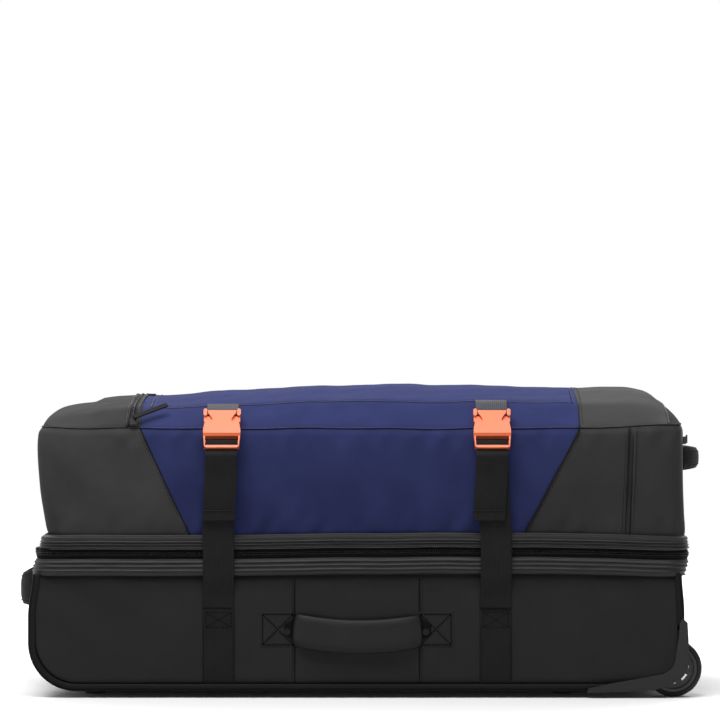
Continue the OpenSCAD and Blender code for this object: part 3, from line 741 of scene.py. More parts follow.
def build_top():
    """The crowned top, cut into its panels, with the flap a little smaller than its opening."""
    us = np.concatenate([
        (1 - np.cos(np.linspace(0, math.pi / 2, 14)))[:-1] * 0.05,
        spaced(0.05, (0.2, 23), (0.82, 129), (0.965, 23))[:-1],
        1 - (1 - np.sin(np.linspace(0, math.pi / 2, 12))) * 0.035,
    ])
    bend = 0.8 + 0.2 * np.sin(np.linspace(0, math.pi / 2, 18))
    vs = np.concatenate([-bend[::-1], np.linspace(-0.8, 0.8, 74)[1:-1], bend])
    Y = np.repeat(vs[None] * TOP_HALF, len(us), 0)
    xl, xr = top_ends(Y)
    X = xl + us[:, None] * (xr - xl)
    points = np.stack([X, Y, top_height(X, Y)], -1)
    top = grid_object("top_wheel_end", points, np.stack([X, Y], -1), [M_BLACK, M_LINING])
    for x in (-BLUE_X, BLUE_X, FLAP_LO[0], FLAP_HI[0], END_SEAM):
        cut_by_plane(top, (x, 0, 0), (1, 0, 0))
    for y in (-FLAP_Y, FLAP_Y):
        cut_by_plane(top, (0, y, 0), (0, 1, 0))
    flap = split_off(top, "top_flap_shell",
                     lambda c: FLAP_LO[0] < c[0] < FLAP_HI[0] and abs(c[1]) < FLAP_Y)
    strips = split_off(top, "top_blue_strips", lambda c: abs(c[0]) < BLUE_X)
    pocket = split_off(top, "quick_pocket_shell", lambda c: c[0] < 0)
    cap = split_off(top, "top_end_pocket", lambda c: c[0] > END_SEAM)
    for o, mat, body, slot, node in (
        (top, M_BLACK, "upper", "nylon_black", None),
        (flap, M_BLUE, "flap", "nylon_blue", "top_flap"),
        (strips, M_BLUE, "upper", "nylon_blue", None),
        (pocket, M_POCKET, "upper", "nylon_black", "quick_pocket_panel"),
        (cap, M_CAP, "upper", "nylon_black", None),
    ):
        o.data.materials[0] = mat
        put(thicken(clean(o), WALL_T, 1), body, node)
    shrink = 0.996
    flap.data.transform(Matrix.Diagonal((shrink, shrink, 1, 1)))


build_walls()
build_top()


def runs_where(path, keep):
    """The stretches of a closed path whose points pass keep."""
    mask = keep(path)
    start = int(np.argmin(mask))
    path, mask = np.roll(path, -start, 0), np.roll(mask, -start)
    out, run = [], []
    for p, m in zip(path, mask):
        if m:
            run.append(p)
        elif run:
            out.append(np.array(run))
            run = []
    return out + ([np.array(run)] if run else [])


def seam_trim():
    """Thin rolled edges in the valleys of the shoulder seam and of the seams between the panels, darker
    than the cloth round them: partly real piping, partly painted shade of the seam valleys.
    """
    path = wall_ring(1.0, 0.5) + [0, 0, 0.3]
    # dark cords laid in the seam valleys; their darkness is partly painted shade
    for k, run in enumerate(runs_where(path, lambda p: abs(p[:, 0]) < BLUE_X + 1)):
        put(tube(f"shoulder_piping_blue_{k}", run, 0.9, M_PIPING_BLUE), "upper")
    for k, run in enumerate(runs_where(path, lambda p: abs(p[:, 0]) > BLUE_X - 3)):
        put(tube(f"shoulder_piping_{k}", run, 0.55, M_PIPING), "upper")
    for side, tag in SIDES:
        for e, end in ((-1, "pull"), (1, "wheel")):
            z = np.linspace(BAND_TOP + 1, SHOULDER_Z - 1, 34)
            p = on_wall(blue_edge(e, z), z, 0.1, side)
            put(tube(f"panel_piping_shade_{tag}_{end}", p, 1.0, M_PIPING), "upper")
        z = np.linspace(BAND_TOP + 1, SHOULDER_Z + 1, 34)
        groove = groove_x((z - BAND_TOP) / (SHOULDER_Z - BAND_TOP))
        for d, r, edge in ((-2.6, 0.8, "in"), (2.8, 0.9, "out")):
            p = on_wall(groove + d, z, 0.2, side)
            put(tube(f"groove_piping_shade_{tag}_{edge}", p, r, M_PIPING), "upper")
    y = np.linspace(-TOP_HALF + 2, TOP_HALF - 2, 110)
    for x, name, r in ((BLUE_X, "cap_seam", 0.7), (END_SEAM, "end_seam", 1.5)):
        put(tube(name, on_top(x, y)[0], r, M_PIPING), "upper")


seam_trim()

# ---- zip bands


def band(body, kind, levels, z0, z1, swell, xl, xr, w, r, mat, thick):
    """A band round the bag. xl and xr are its ends at its foot and how far they move to its top.

    swell gives its outward offset from the share of its height and from the height itself.
    """
    rows = []
    for f in levels:
        p, n = ring(xl[0] + xl[1] * f, xr[0] + xr[1] * f, w, r, r, n_corner=14)
        x, y = p.T
        level = z0 + f * (z1 - z0)
        z = level + bow(x) + 0.45 * ripple(x + y, 0 * x, 41, 85)
        out = swell(f, level) + 0.3 * ripple(x + y, z, 14, 90) + 0.3 * ripple(x + y, z * 3, 43, 38)
        rows.append(np.stack([x + n[:, 0] * out, y + n[:, 1] * out, z], 1))
    g = np.stack(rows, 1)
    along = lengths(g[:, 0])
    uv = np.stack(grid(np.append(along, along[-1] + 4), lengths(g[0])), -1)
    o = grid_object(f"{body}_{kind}", g, uv, [mat, M_LINING], closed=True)
    put(thicken(o, thick, 1), body, f"{body}_zip_{kind}")


def ribs(z, centres, width):
    return sum(1.7 * bell(z - c, width) for c in centres)


def three_full_ribs(t, z):
    return ribs(z, (150.2, 155.4, 160.2), 1.4) - 1.4 * bell(t, 0.05) - 3.5 * bell(1 - t, 0.04) - 0.6


def strip_over_thin_ribs(t, z):
    strip = 1.5 * smoothstep(0.5, 0.75, t) * (1 - smoothstep(0.8, 1, t) * 2.2)
    return ribs(z, (177.4, 180.9, 184.1), 0.9) + strip - 3.0 * bell(t, 0.04) - 0.4


def lower_tape(t, z):
    return 0.9 * bell(t - 0.5, 0.14) + 0.7 * bell(t - 0.82, 0.1) - 0.5


def upper_tape(t, z):
    return 0.9 * bell(t - 0.35, 0.16) - 0.6


def build_bands():
    fine, coarse = np.linspace(0, 1, 56), np.linspace(0, 1, 14)
    low_top, high_foot = SPLIT_Z - 3.2, SPLIT_Z + 7.6
    tape_w = HALF_W + 4.2
    band("lower", "band", fine, SIDE_TOP - 1, low_top, three_full_ribs,
         (-389, 4.3), (385, 5.0), HALF_W + 6.6, 26, M_BAND, 3.0)
    band("upper", "band", fine, high_foot, BAND_TOP + 2.5, strip_over_thin_ribs,
         (-380.5, 4.5), (390, -3.5), HALF_W + 6.2, 26, M_BAND, 3.0)
    band("lower", "tape", coarse, low_top - 1, SPLIT_Z + 1.6, lower_tape,
         (-383.4, 0), (389.0, 0), tape_w, 24, M_TAPE, 1.2)
    band("upper", "tape", coarse, SPLIT_Z + 2.3, high_foot + 1, upper_tape,
         (-381.4, 0), (389.0, 0), tape_w, 24, M_TAPE, 1.2)


def flange(name, xl, xr, inset, z_out, z_in, body):
    """A flat strip of cloth round a rim, from the band in towards the middle."""
    rows = []
    for f in np.linspace(0, 1, 5):
        d = inset * f
        p, _ = ring(xl + d, xr - d, HALF_W + 4.6 - d, 24 - d, 24 - d, 120, 14, 60)
        z = z_out + (z_in - z_out) * smoothstep(0, 1, f) + bow(p[:, 0]) * (1 - f)
        rows.append(np.column_stack([p, z]))
    g = np.stack(rows, 1)
    uv = np.stack(grid(np.arange(len(g) + 1) * 4.6, np.linspace(0, inset, 5)), -1)
    strip = grid_object(name, g, uv, [M_BAND], closed=True)
    put(thicken(strip, 0.9), body)


def zip_teeth(body, z):
    """A row of coil teeth round the bag, one side of the split zip."""
    p, n = ring(-384.0, 389.6, HALF_W + 4.8, 24, 24, 260, 16, 110)
    run = (np.column_stack([p, z + bow(p[:, 0])]), np.column_stack([n, 0 * p[:, 0]]))
    put(stitches(f"split_teeth_{body}", [run], M_HUB, 2.6, 1.5, 1.0, 0.0), body)


build_bands()
flange("divider_binding", -379.5, 387.5, 14.0, 181.0, 179.1, "upper")
flange("lower_rim_binding", -385.5, 386.5, 8.5, SIDE_TOP + 1.0, SIDE_TOP + 0.4, "lower")
zip_teeth("lower", SPLIT_Z + 1.0)
zip_teeth("upper", SPLIT_Z + 3.2)

# ---- the lower compartment


def lower_bottom(x):
    """Height of the side panel's bottom edge at x."""
    rl, rr = LEFT_R - PANEL_INSET, RIGHT_R - PANEL_INSET
    dl = np.clip(GUS_LO[0] + LEFT_R - x, 0, rl)
    dr = np.clip(x - GUS_HI[0] + RIGHT_R, 0, rr)
    z = UNDER_Z + PANEL_INSET + rl + rr
    return z - np.sqrt(rl ** 2 - dl ** 2) - np.sqrt(rr ** 2 - dr ** 2)


def box_dent(x, z, cx):
    """The dents that a stitched square and its cross pull into the panel, 0 to 1."""
    a, b = x - cx, z - PATCH_Z
    inside = (abs(a) < PATCH / 2 + 2) & (abs(b) < PATCH / 2 + 2)
    cross = bell(a - b, 2.0) + bell(a + b, 2.0)
    square = bell(np.maximum(abs(a), abs(b)) - PATCH / 2, 1.4)
    return np.where(inside, np.clip(cross + square, 0, 1), 0)


def handle_dents(x, z):
    return 0.7 * (box_dent(x, z, PATCH_LEFT) + box_dent(x, z, PATCH_RIGHT))


def side_offset(x, z):
    """How far the near side panel stands out from its flat."""
    up = z - lower_bottom(x)
    down = SIDE_TOP - z
    swell = smoothstep(0, 26, up) * smoothstep(0, 20, down)
    pillow = 2.0 * (1 - (x / 385) ** 2) * swell
    seams = 1.6 * (bell(x - SEAM_LEFT, 1.5) + bell(x - SEAM_RIGHT, 1.5)) * swell
    soft = 1.5 * ripple(x, z * 1.1, 33, 130) * swell + 0.7 * ripple(x, z, 36, 56) * swell
    return pillow + soft - seams - 1.6 * bell(up, 4) - 1.2 * bell(down, 3) - handle_dents(x, z)


def on_side(x, z, lift=0.0, centre=None):
    """Points raised from the near side panel, or from where it is at the X of the centre."""
    x, z = np.broadcast_arrays(np.asarray(x, float), np.asarray(z, float))
    at = x if centre is None else np.full_like(x, centre)
    return np.stack([x, -HALF_W - side_offset(at, z) - lift, z], -1)


def build_side(name, dents):
    """The near side panel, or with no dents the panel that is turned round to the far side."""
    xl, xr = GUS_LO[0] + PANEL_INSET, GUS_HI[0] - PANEL_INSET
    rl, rr = LEFT_R - PANEL_INSET, RIGHT_R - PANEL_INSET
    xs = np.concatenate([
        xl + (1 - np.cos(np.linspace(0, math.pi / 2, 20)))[:-1] * rl,
        spaced(xl + rl, (PATCH_LEFT - 21, 43), (PATCH_LEFT + 23, 59), (PATCH_RIGHT - 23, 23),
               (PATCH_RIGHT + 21, 59), (xr - rr, 45))[:-1],
        xr - rr + np.sin(np.linspace(0, math.pi / 2, 14)) * rr,
    ])
    X, T = grid(xs, spaced(0, (0.08, 4), (0.94, 95), (1, 4)))
    foot = lower_bottom(X)
    Z = foot + (SIDE_TOP + 1 - foot) * T
    # the left edge leans in towards the top, and the right edge a little
    lean = smoothstep(110, 145, Z)
    X = X + 5 * lean * smoothstep(-330, -385, X) - 2.5 * lean * smoothstep(330, 376, X)
    Y = -HALF_W - side_offset(X, Z)
    if not dents:
        Y -= handle_dents(X, Z)
    points = np.stack([X, Y, Z + bow(X) * smoothstep(SIDE_TOP - 14, SIDE_TOP, Z)], -1)
    return thicken(grid_object(name, points, np.stack([X, Z], -1), [M_COATED, M_LINING]), SIDE_T, 1)


def build_sides():
    put(build_side("lower_side_panel_near", True), "lower", "lower_side_near")
    blank = build_side("lower_side_panel_blank", False)
    put(mirrored(blank, "lower_side_panel_far"), "lower", "lower_side_far")
    bpy.data.objects.remove(blank)


def gusset_path(inset=0.0):
    """The outline of the lower compartment in XZ, down the pull end, along and up the wheel end."""
    xl, xr, foot = GUS_LO[0] + inset, GUS_HI[0] - inset, UNDER_Z + inset
    rl, rr = LEFT_R - inset, RIGHT_R - inset
    a, b = np.radians(np.linspace(180, 270, 26)), np.radians(np.linspace(270, 360, 16))
    x, z = np.concatenate([
        np.stack([np.full(22, xl), np.linspace(SIDE_TOP + 1, foot + rl, 23)[:-1]], 1),
        np.stack([xl + rl + rl * np.cos(a), foot + rl + rl * np.sin(a)], 1),
        np.stack([np.linspace(xl + rl, xr - rr, 134)[1:-1], np.full(132, foot)], 1),
        np.stack([xr - rr + rr * np.cos(b), foot + rr + rr * np.sin(b)], 1),
        np.stack([np.full(28, xr), np.linspace(foot + rr, SIDE_TOP + 1, 29)[1:]], 1),
    ]).T
    lean = 5.5 * smoothstep(96, 146, z) * (x < 0) - 3.0 * smoothstep(100, 146, z) * (x > 0)
    return np.stack([x + lean, z], 1)


def snap(p, axis, value, where):
    """Move the path's nearest point there onto a value, so that a cut follows it."""
    found = np.where(where)[0]
    p[found[np.argmin(abs(p[found, axis] - value))], axis] = value


def build_gusset():
    p = gusset_path()
    half_bezel = 106                                     # the bezel's opening, across the bag
    wheel_x, wheel_y, wheel_z = 324.5, 134, 80.5         # inner corner of a wheel's opening
    snap(p, 1, BEZ_HI[2] + 0.5, p[:, 0] < -380)
    snap(p, 0, BEZ_HI[0] + 0.5, (p[:, 1] < 20) & (p[:, 0] < -300))
    snap(p, 0, wheel_x, (p[:, 1] < 20) & (p[:, 0] > 300))
    snap(p, 1, wheel_z, p[:, 0] > 370)
    ys = spaced(-178, (-wheel_y, 11), (-half_bezel, 7), (half_bezel, 43), (wheel_y, 7), (178, 11))
    t = tangents(np.stack([p[:, 0], 0 * p[:, 0], p[:, 1]], 1))
    n = np.stack([t[:, 2], 0 * t[:, 0], -t[:, 0]], 1)        # outwards
    x, y = grid(p[:, 0], ys)
    z = np.repeat(p[:, 1:], len(ys), 1)
    up = smoothstep(60, 100, z) * smoothstep(0, 12, SIDE_TOP - z)
    swell = (1.2 + 1.2 * (x > 0)) * (1 - (y / 180) ** 2) * up
    soft = 0.6 * ripple(y, z * 1.3 + x * 0.3, 44, 120) * up * smoothstep(0, 30, 178 - abs(y))
    points = np.stack([x, y, z], -1) + n[:, None] * (swell + soft)[..., None]
    points[..., 2] += bow(x) * smoothstep(SIDE_TOP - 14, SIDE_TOP, z)
    cx, cy, cz = ((points[:-1, :-1] + points[1:, 1:]) / 2).transpose(2, 0, 1)
    in_bezel = (abs(cy) < half_bezel) & (cx < BEZ_HI[0]) & (cz < BEZ_HI[2])
    in_wheel = (abs(cy) > wheel_y) & (cx > wheel_x + 0.1) & (cz < wheel_z - 0.1)
    uv = np.stack(grid(lengths(p), ys), -1)
    shell = grid_object("lower_gusset_shell", points, uv, [M_COATED, M_LINING], skip=in_bezel | in_wheel)
    shell.data.flip_normals()
    put(thicken(shell, SIDE_T, 1), "lower", "lower_gusset")


def rim_runs(inset, y, step):
    """The side panel's rim, in two stretches: up to the wheel guard, and above it."""
    p = gusset_path(inset)
    guard = np.where((p[:, 0] > 330) & (p[:, 1] < 60))[0][0]
    above = np.where((p[:, 0] > 300) & (p[:, 1] > 84))[0][0]
    for k, run in enumerate((p[:guard], p[above:])):
        yield k, resample(np.stack([run[:, 0], np.full(len(run), y), run[:, 1]], 1), step)


def build_rims():
    """A flat bound edge with a ribbed cord outside it, round both side panels."""
    for k, path in rim_runs(4.6, -HALF_W - 3.0, 3.0):
        across = np.cross(tangents(path), [0, 1.0, 0])
        o = ribbon(f"edge_binding_near_{k}", path, 6.0, 2.6, M_PIPING, across, 0.8)
        put_pair(o, f"edge_binding_far_{k}", "lower", node=None if k else "piping")
    for k, path in rim_runs(0.8, -HALF_W + 0.2, 2.0):
        o = tube(f"edge_cord_near_{k}", path, 2.1, M_GIMP, 10)
        put_pair(o, f"edge_cord_far_{k}", "lower")


build_sides()
build_gusset()
build_rims()

# ---- straps, anchors and their stitching


def lean(y, z):
    """World Y and Z of a point in the near buckle's leaning frame."""
    c, s = math.cos(LEAN), math.sin(LEAN)
    return BUCKLE_Y + y * c + z * s, BUCKLE_Z - y * s + z * c


def yz_path(x, points, step, passes):
    return round_path([(x, y, z) for y, z in points], step, passes)


def build_strap(buckle_x, root_x, tail_x, tag):
    """Main webbing from its anchor to the buckle's bar, and the tail that hangs back from it."""
    out = -BAND_HI[1] - 1.2
    main = yz_path(buckle_x, [
        (-HALF_W - 3.8, 106), (-HALF_W - 4.6, 120), (out + 0.4, 143), (out - 1.0, 166),
        (out - 0.6, 192), (-191.2, 225), (-193.6, 262), lean(-1.4, -6), lean(-0.8, 2),
        lean(-0.8, 9), lean(-1.4, 12.6), lean(-3.4, 13.8), lean(-5.6, 13.4), lean(-6.4, 11),
    ], 2.0, 3)
    main[:, 0] += (root_x - buckle_x) * (1 - smoothstep(190, 290, main[:, 2]))
    main[:, 0] += 0.5 * np.sin(main[:, 2] * 0.05)
    tail = yz_path(buckle_x, [
        lean(-6.4, 11.4), lean(-6.5, 8), lean(-5.9, 5.6), lean(-3.6, 3.4), lean(-3.2, -1),
        lean(-4.0, -8), (-199.6, 262), (-198.4, 236), (-196.6, 222), (-196.2, 209.5),
    ], 1.6, 2)
    tail[:, 0] += (tail_x - buckle_x) * (1 - smoothstep(215, 292, tail[:, 2]))
    web = ribbon(f"strap_web_{tag}", main, STRAP_W - 1.2, 1.6, M_WEB)
    loose = ribbon(f"strap_tail_{tag}", tail, STRAP_W, 1.6, M_WEB)
    hem = ribbon(f"strap_hem_{tag}", tail[-9:] + [0, -1.5, 0], STRAP_W - 0.2, 1.5, M_WEB)
    xs = np.linspace(-STRAP_W / 2 + 1.5, STRAP_W / 2 - 1.5, 30)
    y = coords_mm(hem)[:, 1].min() - 0.1
    row = np.stack([tail_x + xs, np.full(30, y), np.full(30, tail[-1, 2] + 11.2)], 1)
    sewn = stitches(f"strap_stitch_{tag}", [(row, (0, -1, 0))], M_THREAD, 2.9, 2.0, 0.5)
    bodies = (f"near_{tag}_strap", f"far_{tag}_strap")
    put_pair(web, f"strap_web_far_{tag}", bodies[0], bodies[1],
             f"strap_near_{tag}", f"strap_far_{tag}")
    for o, name in ((loose, "strap_tail"), (hem, "strap_hem"), (sewn, "strap_stitch")):
        put_pair(o, f"{name}_far_{tag}", bodies[0], bodies[1])


def box_runs(cx, cz, w, h, n, lift, centre=None):
    """Runs of a stitched box with its cross, on the near side panel."""
    c = np.array([(-w, -h), (w, -h), (w, h), (-w, h)]) / 2 + (cx, cz)
    runs = []
    for i, j in ((0, 1), (1, 2), (2, 3), (3, 0), (0, 2), (1, 3)):
        x, z = np.linspace(c[i], c[j], n).T
        runs.append((on_side(x, z, lift, centre), (0, -1, 0)))
    return runs


def build_anchor(x, tag, node):
    path = on_side(np.full(30, x), np.linspace(16.5, ANCHOR_HI[2] + 4, 30), 0.1)
    runs = box_runs(x, 92.5, STRAP_W - 8, 18, 12, 1.9, x)
    for e in (-1, 1):
        edge = x + e * (STRAP_W / 2 - 1.6)
        runs.append((on_side(edge, np.linspace(20, 86, 20), 1.8, x), (0, -1, 0)))
    web = ribbon(f"anchor_web_{tag}", path, STRAP_W, 1.7, M_WEB)
    sewn = stitches(f"anchor_stitch_{tag}", runs, M_THREAD, 3.4, 2.3, 0.4)
    put_pair(web, f"anchor_web_far_{tag}", "lower", node=node)
    put_pair(sewn, f"anchor_stitch_far_{tag}", "lower")


def build_plug_webbing(x, tag, node):
    """The short webbing from the flap's seam to the plug, and its turn round the plug's bar."""
    seam_z = float(top_height(x, -FLAP_Y))
    turn = yz_path(x, [
        lean(-5.6, 45.8), lean(-5.8, 49), lean(-5.4, 53), lean(-2.6, 54.4), lean(-0.2, 53), lean(0, 50),
    ], 1.5, 2)
    back = yz_path(x, [
        lean(-0.6, 46), lean(-0.3, 52), lean(1.0, 58), (-146, seam_z - 1.6), (-FLAP_Y - 1.2, seam_z + 0.6),
    ], 2.0, 4)
    loop = ribbon(f"plug_loop_{tag}", turn, STRAP_W - 0.6, 1.3, M_WEB_GREY)
    web = ribbon(f"plug_web_{tag}", back, STRAP_W - 0.6, 1.5, M_WEB_GREY)
    put_pair(loop, f"plug_loop_far_{tag}", "upper")
    put_pair(web, f"plug_web_far_{tag}", "upper", node=node)


for tag, buckle_x, root_x, drift, anchors_node, plugs_node in (
    ("left", LEFT_BUCKLE, LEFT_ANCHOR, -2.8, "strap_anchors", "plug_webbing"),
    ("right", RIGHT_BUCKLE, RIGHT_ANCHOR, -3.6, None, None),
):
    build_strap(buckle_x, root_x, buckle_x + drift, tag)
    build_anchor(root_x, tag, anchors_node)
    build_plug_webbing(buckle_x, tag, plugs_node)

# ---- parts that keep their CAD shapes


def paint(obj, mat):
    obj.data.materials.clear()
    obj.data.materials.append(mat)


def eased(node, name, mat, width, body, segments=3, angle=35):
    """A copy of a CAD node with its sharp edges rounded, standing for it."""
    o = new_object(name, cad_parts[node].data.copy())
    o.data.name = name
    paint(o, mat)
    with editing(o) as bm:
        bmesh.ops.remove_doubles(bm, verts=bm.verts, dist=0.000005)
        bmesh.ops.dissolve_limit(bm, angle_limit=math.radians(0.6), verts=bm.verts, edges=bm.edges)
    b = o.modifiers.new("ease", "BEVEL")
    b.width = width * 0.001
    b.segments = segments
    b.limit_method = "ANGLE"
    b.angle_limit = math.radians(angle)
    apply_modifiers(o)
    with editing(o) as bm:
        for f in bm.faces:
            f.smooth = True
        for e in bm.edges:
            e.smooth = not (len(e.link_faces) == 2 and e.calc_face_angle(0) > math.radians(40))
    o.modifiers.new("flat faces", "WEIGHTED_NORMAL").keep_sharp = True
    return put(apply_modifiers(o), body, node)


for _, side in SIDES:
    for tag in ("left", "right"):
        eased(f"socket_{side}_{tag}", f"buckle_socket_{side}_{tag}", M_ORANGE, 0.7,
              f"{side}_{tag}_strap")
    eased(f"wheel_housing_{side}", f"corner_guard_{side}", M_MOULD, 1.6, "lower")
    eased(f"hub_{side}", f"wheel_hub_{side}", M_HUB, 0.5, f"{side}_wheel", 2, 40)
    eased(f"tyre_{side}", f"wheel_tyre_{side}", M_TYRE, 0.4, f"{side}_wheel", 2, 50)
eased("buckle_plugs", "buckle_plug_set", M_ORANGE, 0.6, "upper")
eased("handle_bezel", "trolley_recess", M_MOULD, 1.2, "lower")
eased("grip", "trolley_grip", M_GRIP, 1.0, "trolley_inner")
eased("release_button", "trolley_button_cap", M_MOULD, 1.0, "trolley_button")
eased("back_panel", "back_board", M_BOARD, 1.0, "lower", 2)
eased("skid_feet", "rubber_feet", M_TYRE, 1.2, "lower")
eased("quick_pocket_pull", "quick_pocket_tab", M_PULL, 0.6, "pocket_pull", 2, 30)
# lower than its CAD solid, so that it meets the crowned cloth
flap_slider = eased("flap_slider", "flap_zip_slider", M_GUN, 0.5, "top_slider", 2)
flap_slider.data.transform(Matrix.Translation((0, 0, -0.0017)))

for mat, nodes in (
    (M_STEEL, ("axle_bolts", "bearings_near", "bearings_far", "bezel_screws")),
    (M_ALU, ("outer_tubes", "middle_tubes", "inner_tubes")),
    (M_MOULD, ("tube_bracket",)),
    (M_LINING_BOARD, ("false_floor", "divider_panel")),
    (M_RIVET, ("side_handle_rivets",)),
    (M_GUN, ("quick_pocket_slider", "end_pocket_slider", "split_slider_near", "split_slider_far")),
):
    for node in nodes:
        paint(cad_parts[node], mat)

# ---- carry handles


def pad_profile(w, t):
    """A padded strip's section: flat bound edges and a crowned middle."""
    a = np.linspace(-1, 1, 26)
    top = [(w / 2 * x, t * (0.28 + 0.72 * (1 - abs(x) ** 3.2))) for x in a[::-1]]
    low = [(w / 2 * x, -0.2 * t * (1 - abs(x) ** 3)) for x in a]
    return low + top


def side_sheet(name, X, Z, lift, thickness, mats, node=None):
    """A thin piece of cloth on the near side panel."""
    sheet = grid_object(name, on_side(X, Z, lift), np.stack([X, Z], -1), mats)
    put(thicken(sheet, thickness), "lower", node)


def build_side_handle():
    """The pad with its turned edges, and at both ends a square stitched through the panel."""
    cx = (HAND_LO[0] + HAND_HI[0]) / 2
    half = (HAND_HI[0] - HAND_LO[0]) / 2
    height = 39.0
    t = np.linspace(-1, 1, 81)
    y = -HALF_W - 2.6 - 8.6 * (1 - abs(t) ** 6) ** 0.8
    path = np.stack([cx + 1.2 + t * (half - 2.2), y, HANDLE_Z + 1.8 - 7.0 * (1 - t ** 2) - 0.6 * t], 1)
    # the pad takes the lighter coated cloth, whose extra lightness is painted light
    pad = sweep("side_handle_pad", path, (0, 0, -1), pad_profile(height, 5.2), M_HANDLE_LIT)
    co = coords_mm(pad)
    taper = 1 - 0.04 * np.minimum(1, abs(co[:, 0] - cx) / half) ** 4
    co[:, 2] = HANDLE_Z + (co[:, 2] - HANDLE_Z) * taper
    move_to(pad, co)
    put(pad, "lower", "side_handle")
    for e, tag in ((-1, "under"), (1, "over")):
        rise = e * (height / 2 - 0.9) * (1 - 0.04 * abs(t) ** 4)
        edge = path + np.stack([0 * t, 0 * t - 0.4, rise], 1)
        put(tube(f"side_handle_edge_{tag}", edge, 1.5, M_PIPING), "lower")
    runs = []
    for px, sign, tag, node in (
        (PATCH_LEFT, -1, "left", "side_handle_patches"), (PATCH_RIGHT, 1, "right", None),
    ):
        around = np.linspace(-PATCH / 2 - 2, PATCH / 2 + 2, 40)
        X, Z = grid(px + around, PATCH_Z + around)
        side_sheet(f"side_handle_patch_{tag}", X, Z, 0.7, 0.7, [M_COATED, M_LINING], node)
        runs += box_runs(px, PATCH_Z, PATCH, PATCH, 14, 0.9)
        # the folded tongue that runs from the handle's end to its rivet, in near-black zip tape: partly
        # the real fold, partly painted shadow at the handle's end
        u, v = grid(np.linspace(0, 1, 10), np.linspace(-1, 1, 14))
        X, Z = cx + 1.2 + sign * (half - 5 + 17 * u), PATCH_Z + v * (17 - 11.5 * u)
        side_sheet(f"side_handle_shadow_tongue_{tag}", X, Z, 0.9 + 1.6 * (1 - u), 0.5, [M_TAPE])
    put(stitches("side_handle_box_stitch", runs, M_THREAD, 3.2, 2.4, 0.75), "lower")


def build_end_handle(name, node, wall, reach, sign, body, sag):
    """A grab handle on an end wall, tall at its roots and a little lower at its middle."""
    lo, hi = box_mm(node)
    cz, h = (lo[2] + hi[2]) / 2, hi[2] - lo[2]
    y = np.concatenate([[-66], np.linspace(-60, 60, 61), [66]])
    t = np.clip(abs(y) / 60, 0, 1)
    out = reach * (1 - t ** 3.4) ** 0.75
    path = np.stack([sign * (wall + 1.6 + out), y, cz - sag * (1 - t ** 2)], 1)

    def lowered(p, rise):
        """Points raised, and drawn in towards the handle's middle height where it stands out."""
        k = 1 - 0.2 * np.clip((abs(p[:, 0]) - wall - 2) / reach, 0, 1)
        return np.column_stack([p[:, :2], cz + (p[:, 2] - cz + rise) * k])

    pad = sweep(name, path, (0, 0, 1), pad_profile(h, 4.0), M_WEB)
    co = coords_mm(pad)
    if sign > 0:
        # the sweep's crown is towards -X, so this pad is turned over about its path
        co[:, 0] = 2 * np.interp(co[:, 1], y, path[:, 0]) - co[:, 0]
        pad.data.flip_normals()
    move_to(pad, lowered(co, 0.0))
    put(pad, body, node)
    runs = []
    for e, tag in ((-1, "low"), (1, "high")):
        run = lowered(path[3:-3], e * (h / 2 - 4.5))
        outwards = sign * np.cross(tangents(run), [0, 0, 1.0])
        runs.append((run + outwards * 3.2, outwards))
        edge = tube(f"{name}_binding_{tag}", lowered(path, e * (h / 2 - 0.6)), 1.5, M_PIPING)
        put(edge, body)
    put(stitches(f"{name}_stitch", runs, M_THREAD, 3.6, 2.5), body)


build_side_handle()
build_end_handle("pull_end_grab", "pull_end_handle", 389.5, 20.0, -1, "lower", 4)
build_end_handle("wheel_end_grab", "wheel_end_handle", 388.0, 21.0, 1, "upper", 0)

# ---- zips and seams


def pocket_x(y):
    return -270.5 + 4.0 * (1 - (y / 175) ** 2)


def build_quick_pocket():
    """The quick pocket's zip across the top, with a bound edge on both sides."""
    for name, dx, reach, w, t, mat, slot, node in (
        ("tape", 0.0, 173, 11, 0.8, M_TAPE, "band_black", "quick_pocket_zip"),
        ("binding_outer", -6.0, 173.5, 3.4, 1.8, M_PIPING, "piping_black", None),
        ("binding_inner", 5.8, 173.5, 3.0, 1.8, M_PIPING, "piping_black", None),
    ):
        y = np.linspace(-reach, reach, 110)
        path = on_top(pocket_x(y) + dx, y, 0.1)[0]
        put(ribbon(f"quick_pocket_{name}", path, w, t, mat), "upper", node)
    y = np.linspace(-172, 172, 160)
    teeth = stitches("quick_pocket_teeth", [on_top(pocket_x(y), y, 1.0)], M_HUB, 1.9, 1.2, 1.5, 0.0)
    put(teeth, "upper")


def build_flap_edge():
    """Rolled seam round the flap, its topstitching and the zip tape under it."""
    x0, x1 = FLAP_LO[0], FLAP_HI[0]
    ys, xs = np.linspace(-FLAP_Y, FLAP_Y, 60), np.linspace(x0, x1, 130)
    for tag, x, y, lift, r in (
        ("near", xs, -FLAP_Y, 0.0, 0.8), ("far", xs, FLAP_Y, 0.0, 0.8),
        ("pull", x0, ys, -0.2, 0.6), ("wheel", x1, ys, -0.2, 0.35),
    ):
        put(tube(f"flap_seam_{tag}", on_top(x, y, lift)[0], r, M_PIPING_BLUE), "upper")
    runs = [on_top(xs[4:-4], y, 0.1) for y in (5 - FLAP_Y, FLAP_Y - 5)]
    runs.append(on_top(x0 + 5, ys * 0.95, 0.1))
    put(stitches("flap_topstitch", runs, M_THREAD_BLUE, 4.2, 3.0, 0.3), "flap")
    ys, xs = np.linspace(-FLAP_Y, FLAP_Y, 50), np.linspace(x0, x1, 80)
    x = np.concatenate([np.full(50, x0), xs[1:], np.full(49, x1)])
    y = np.concatenate([ys[::-1], np.full(79, -FLAP_Y), ys[1:]])
    path = round_path(on_top(x, y, -4.6)[0], 4.0, 3)
    across = np.cross(tangents(path), [0, 0, 1.0])
    put(ribbon("flap_zip_tape", path, 13, 0.8, M_TAPE, across), "upper", "flap_zip")


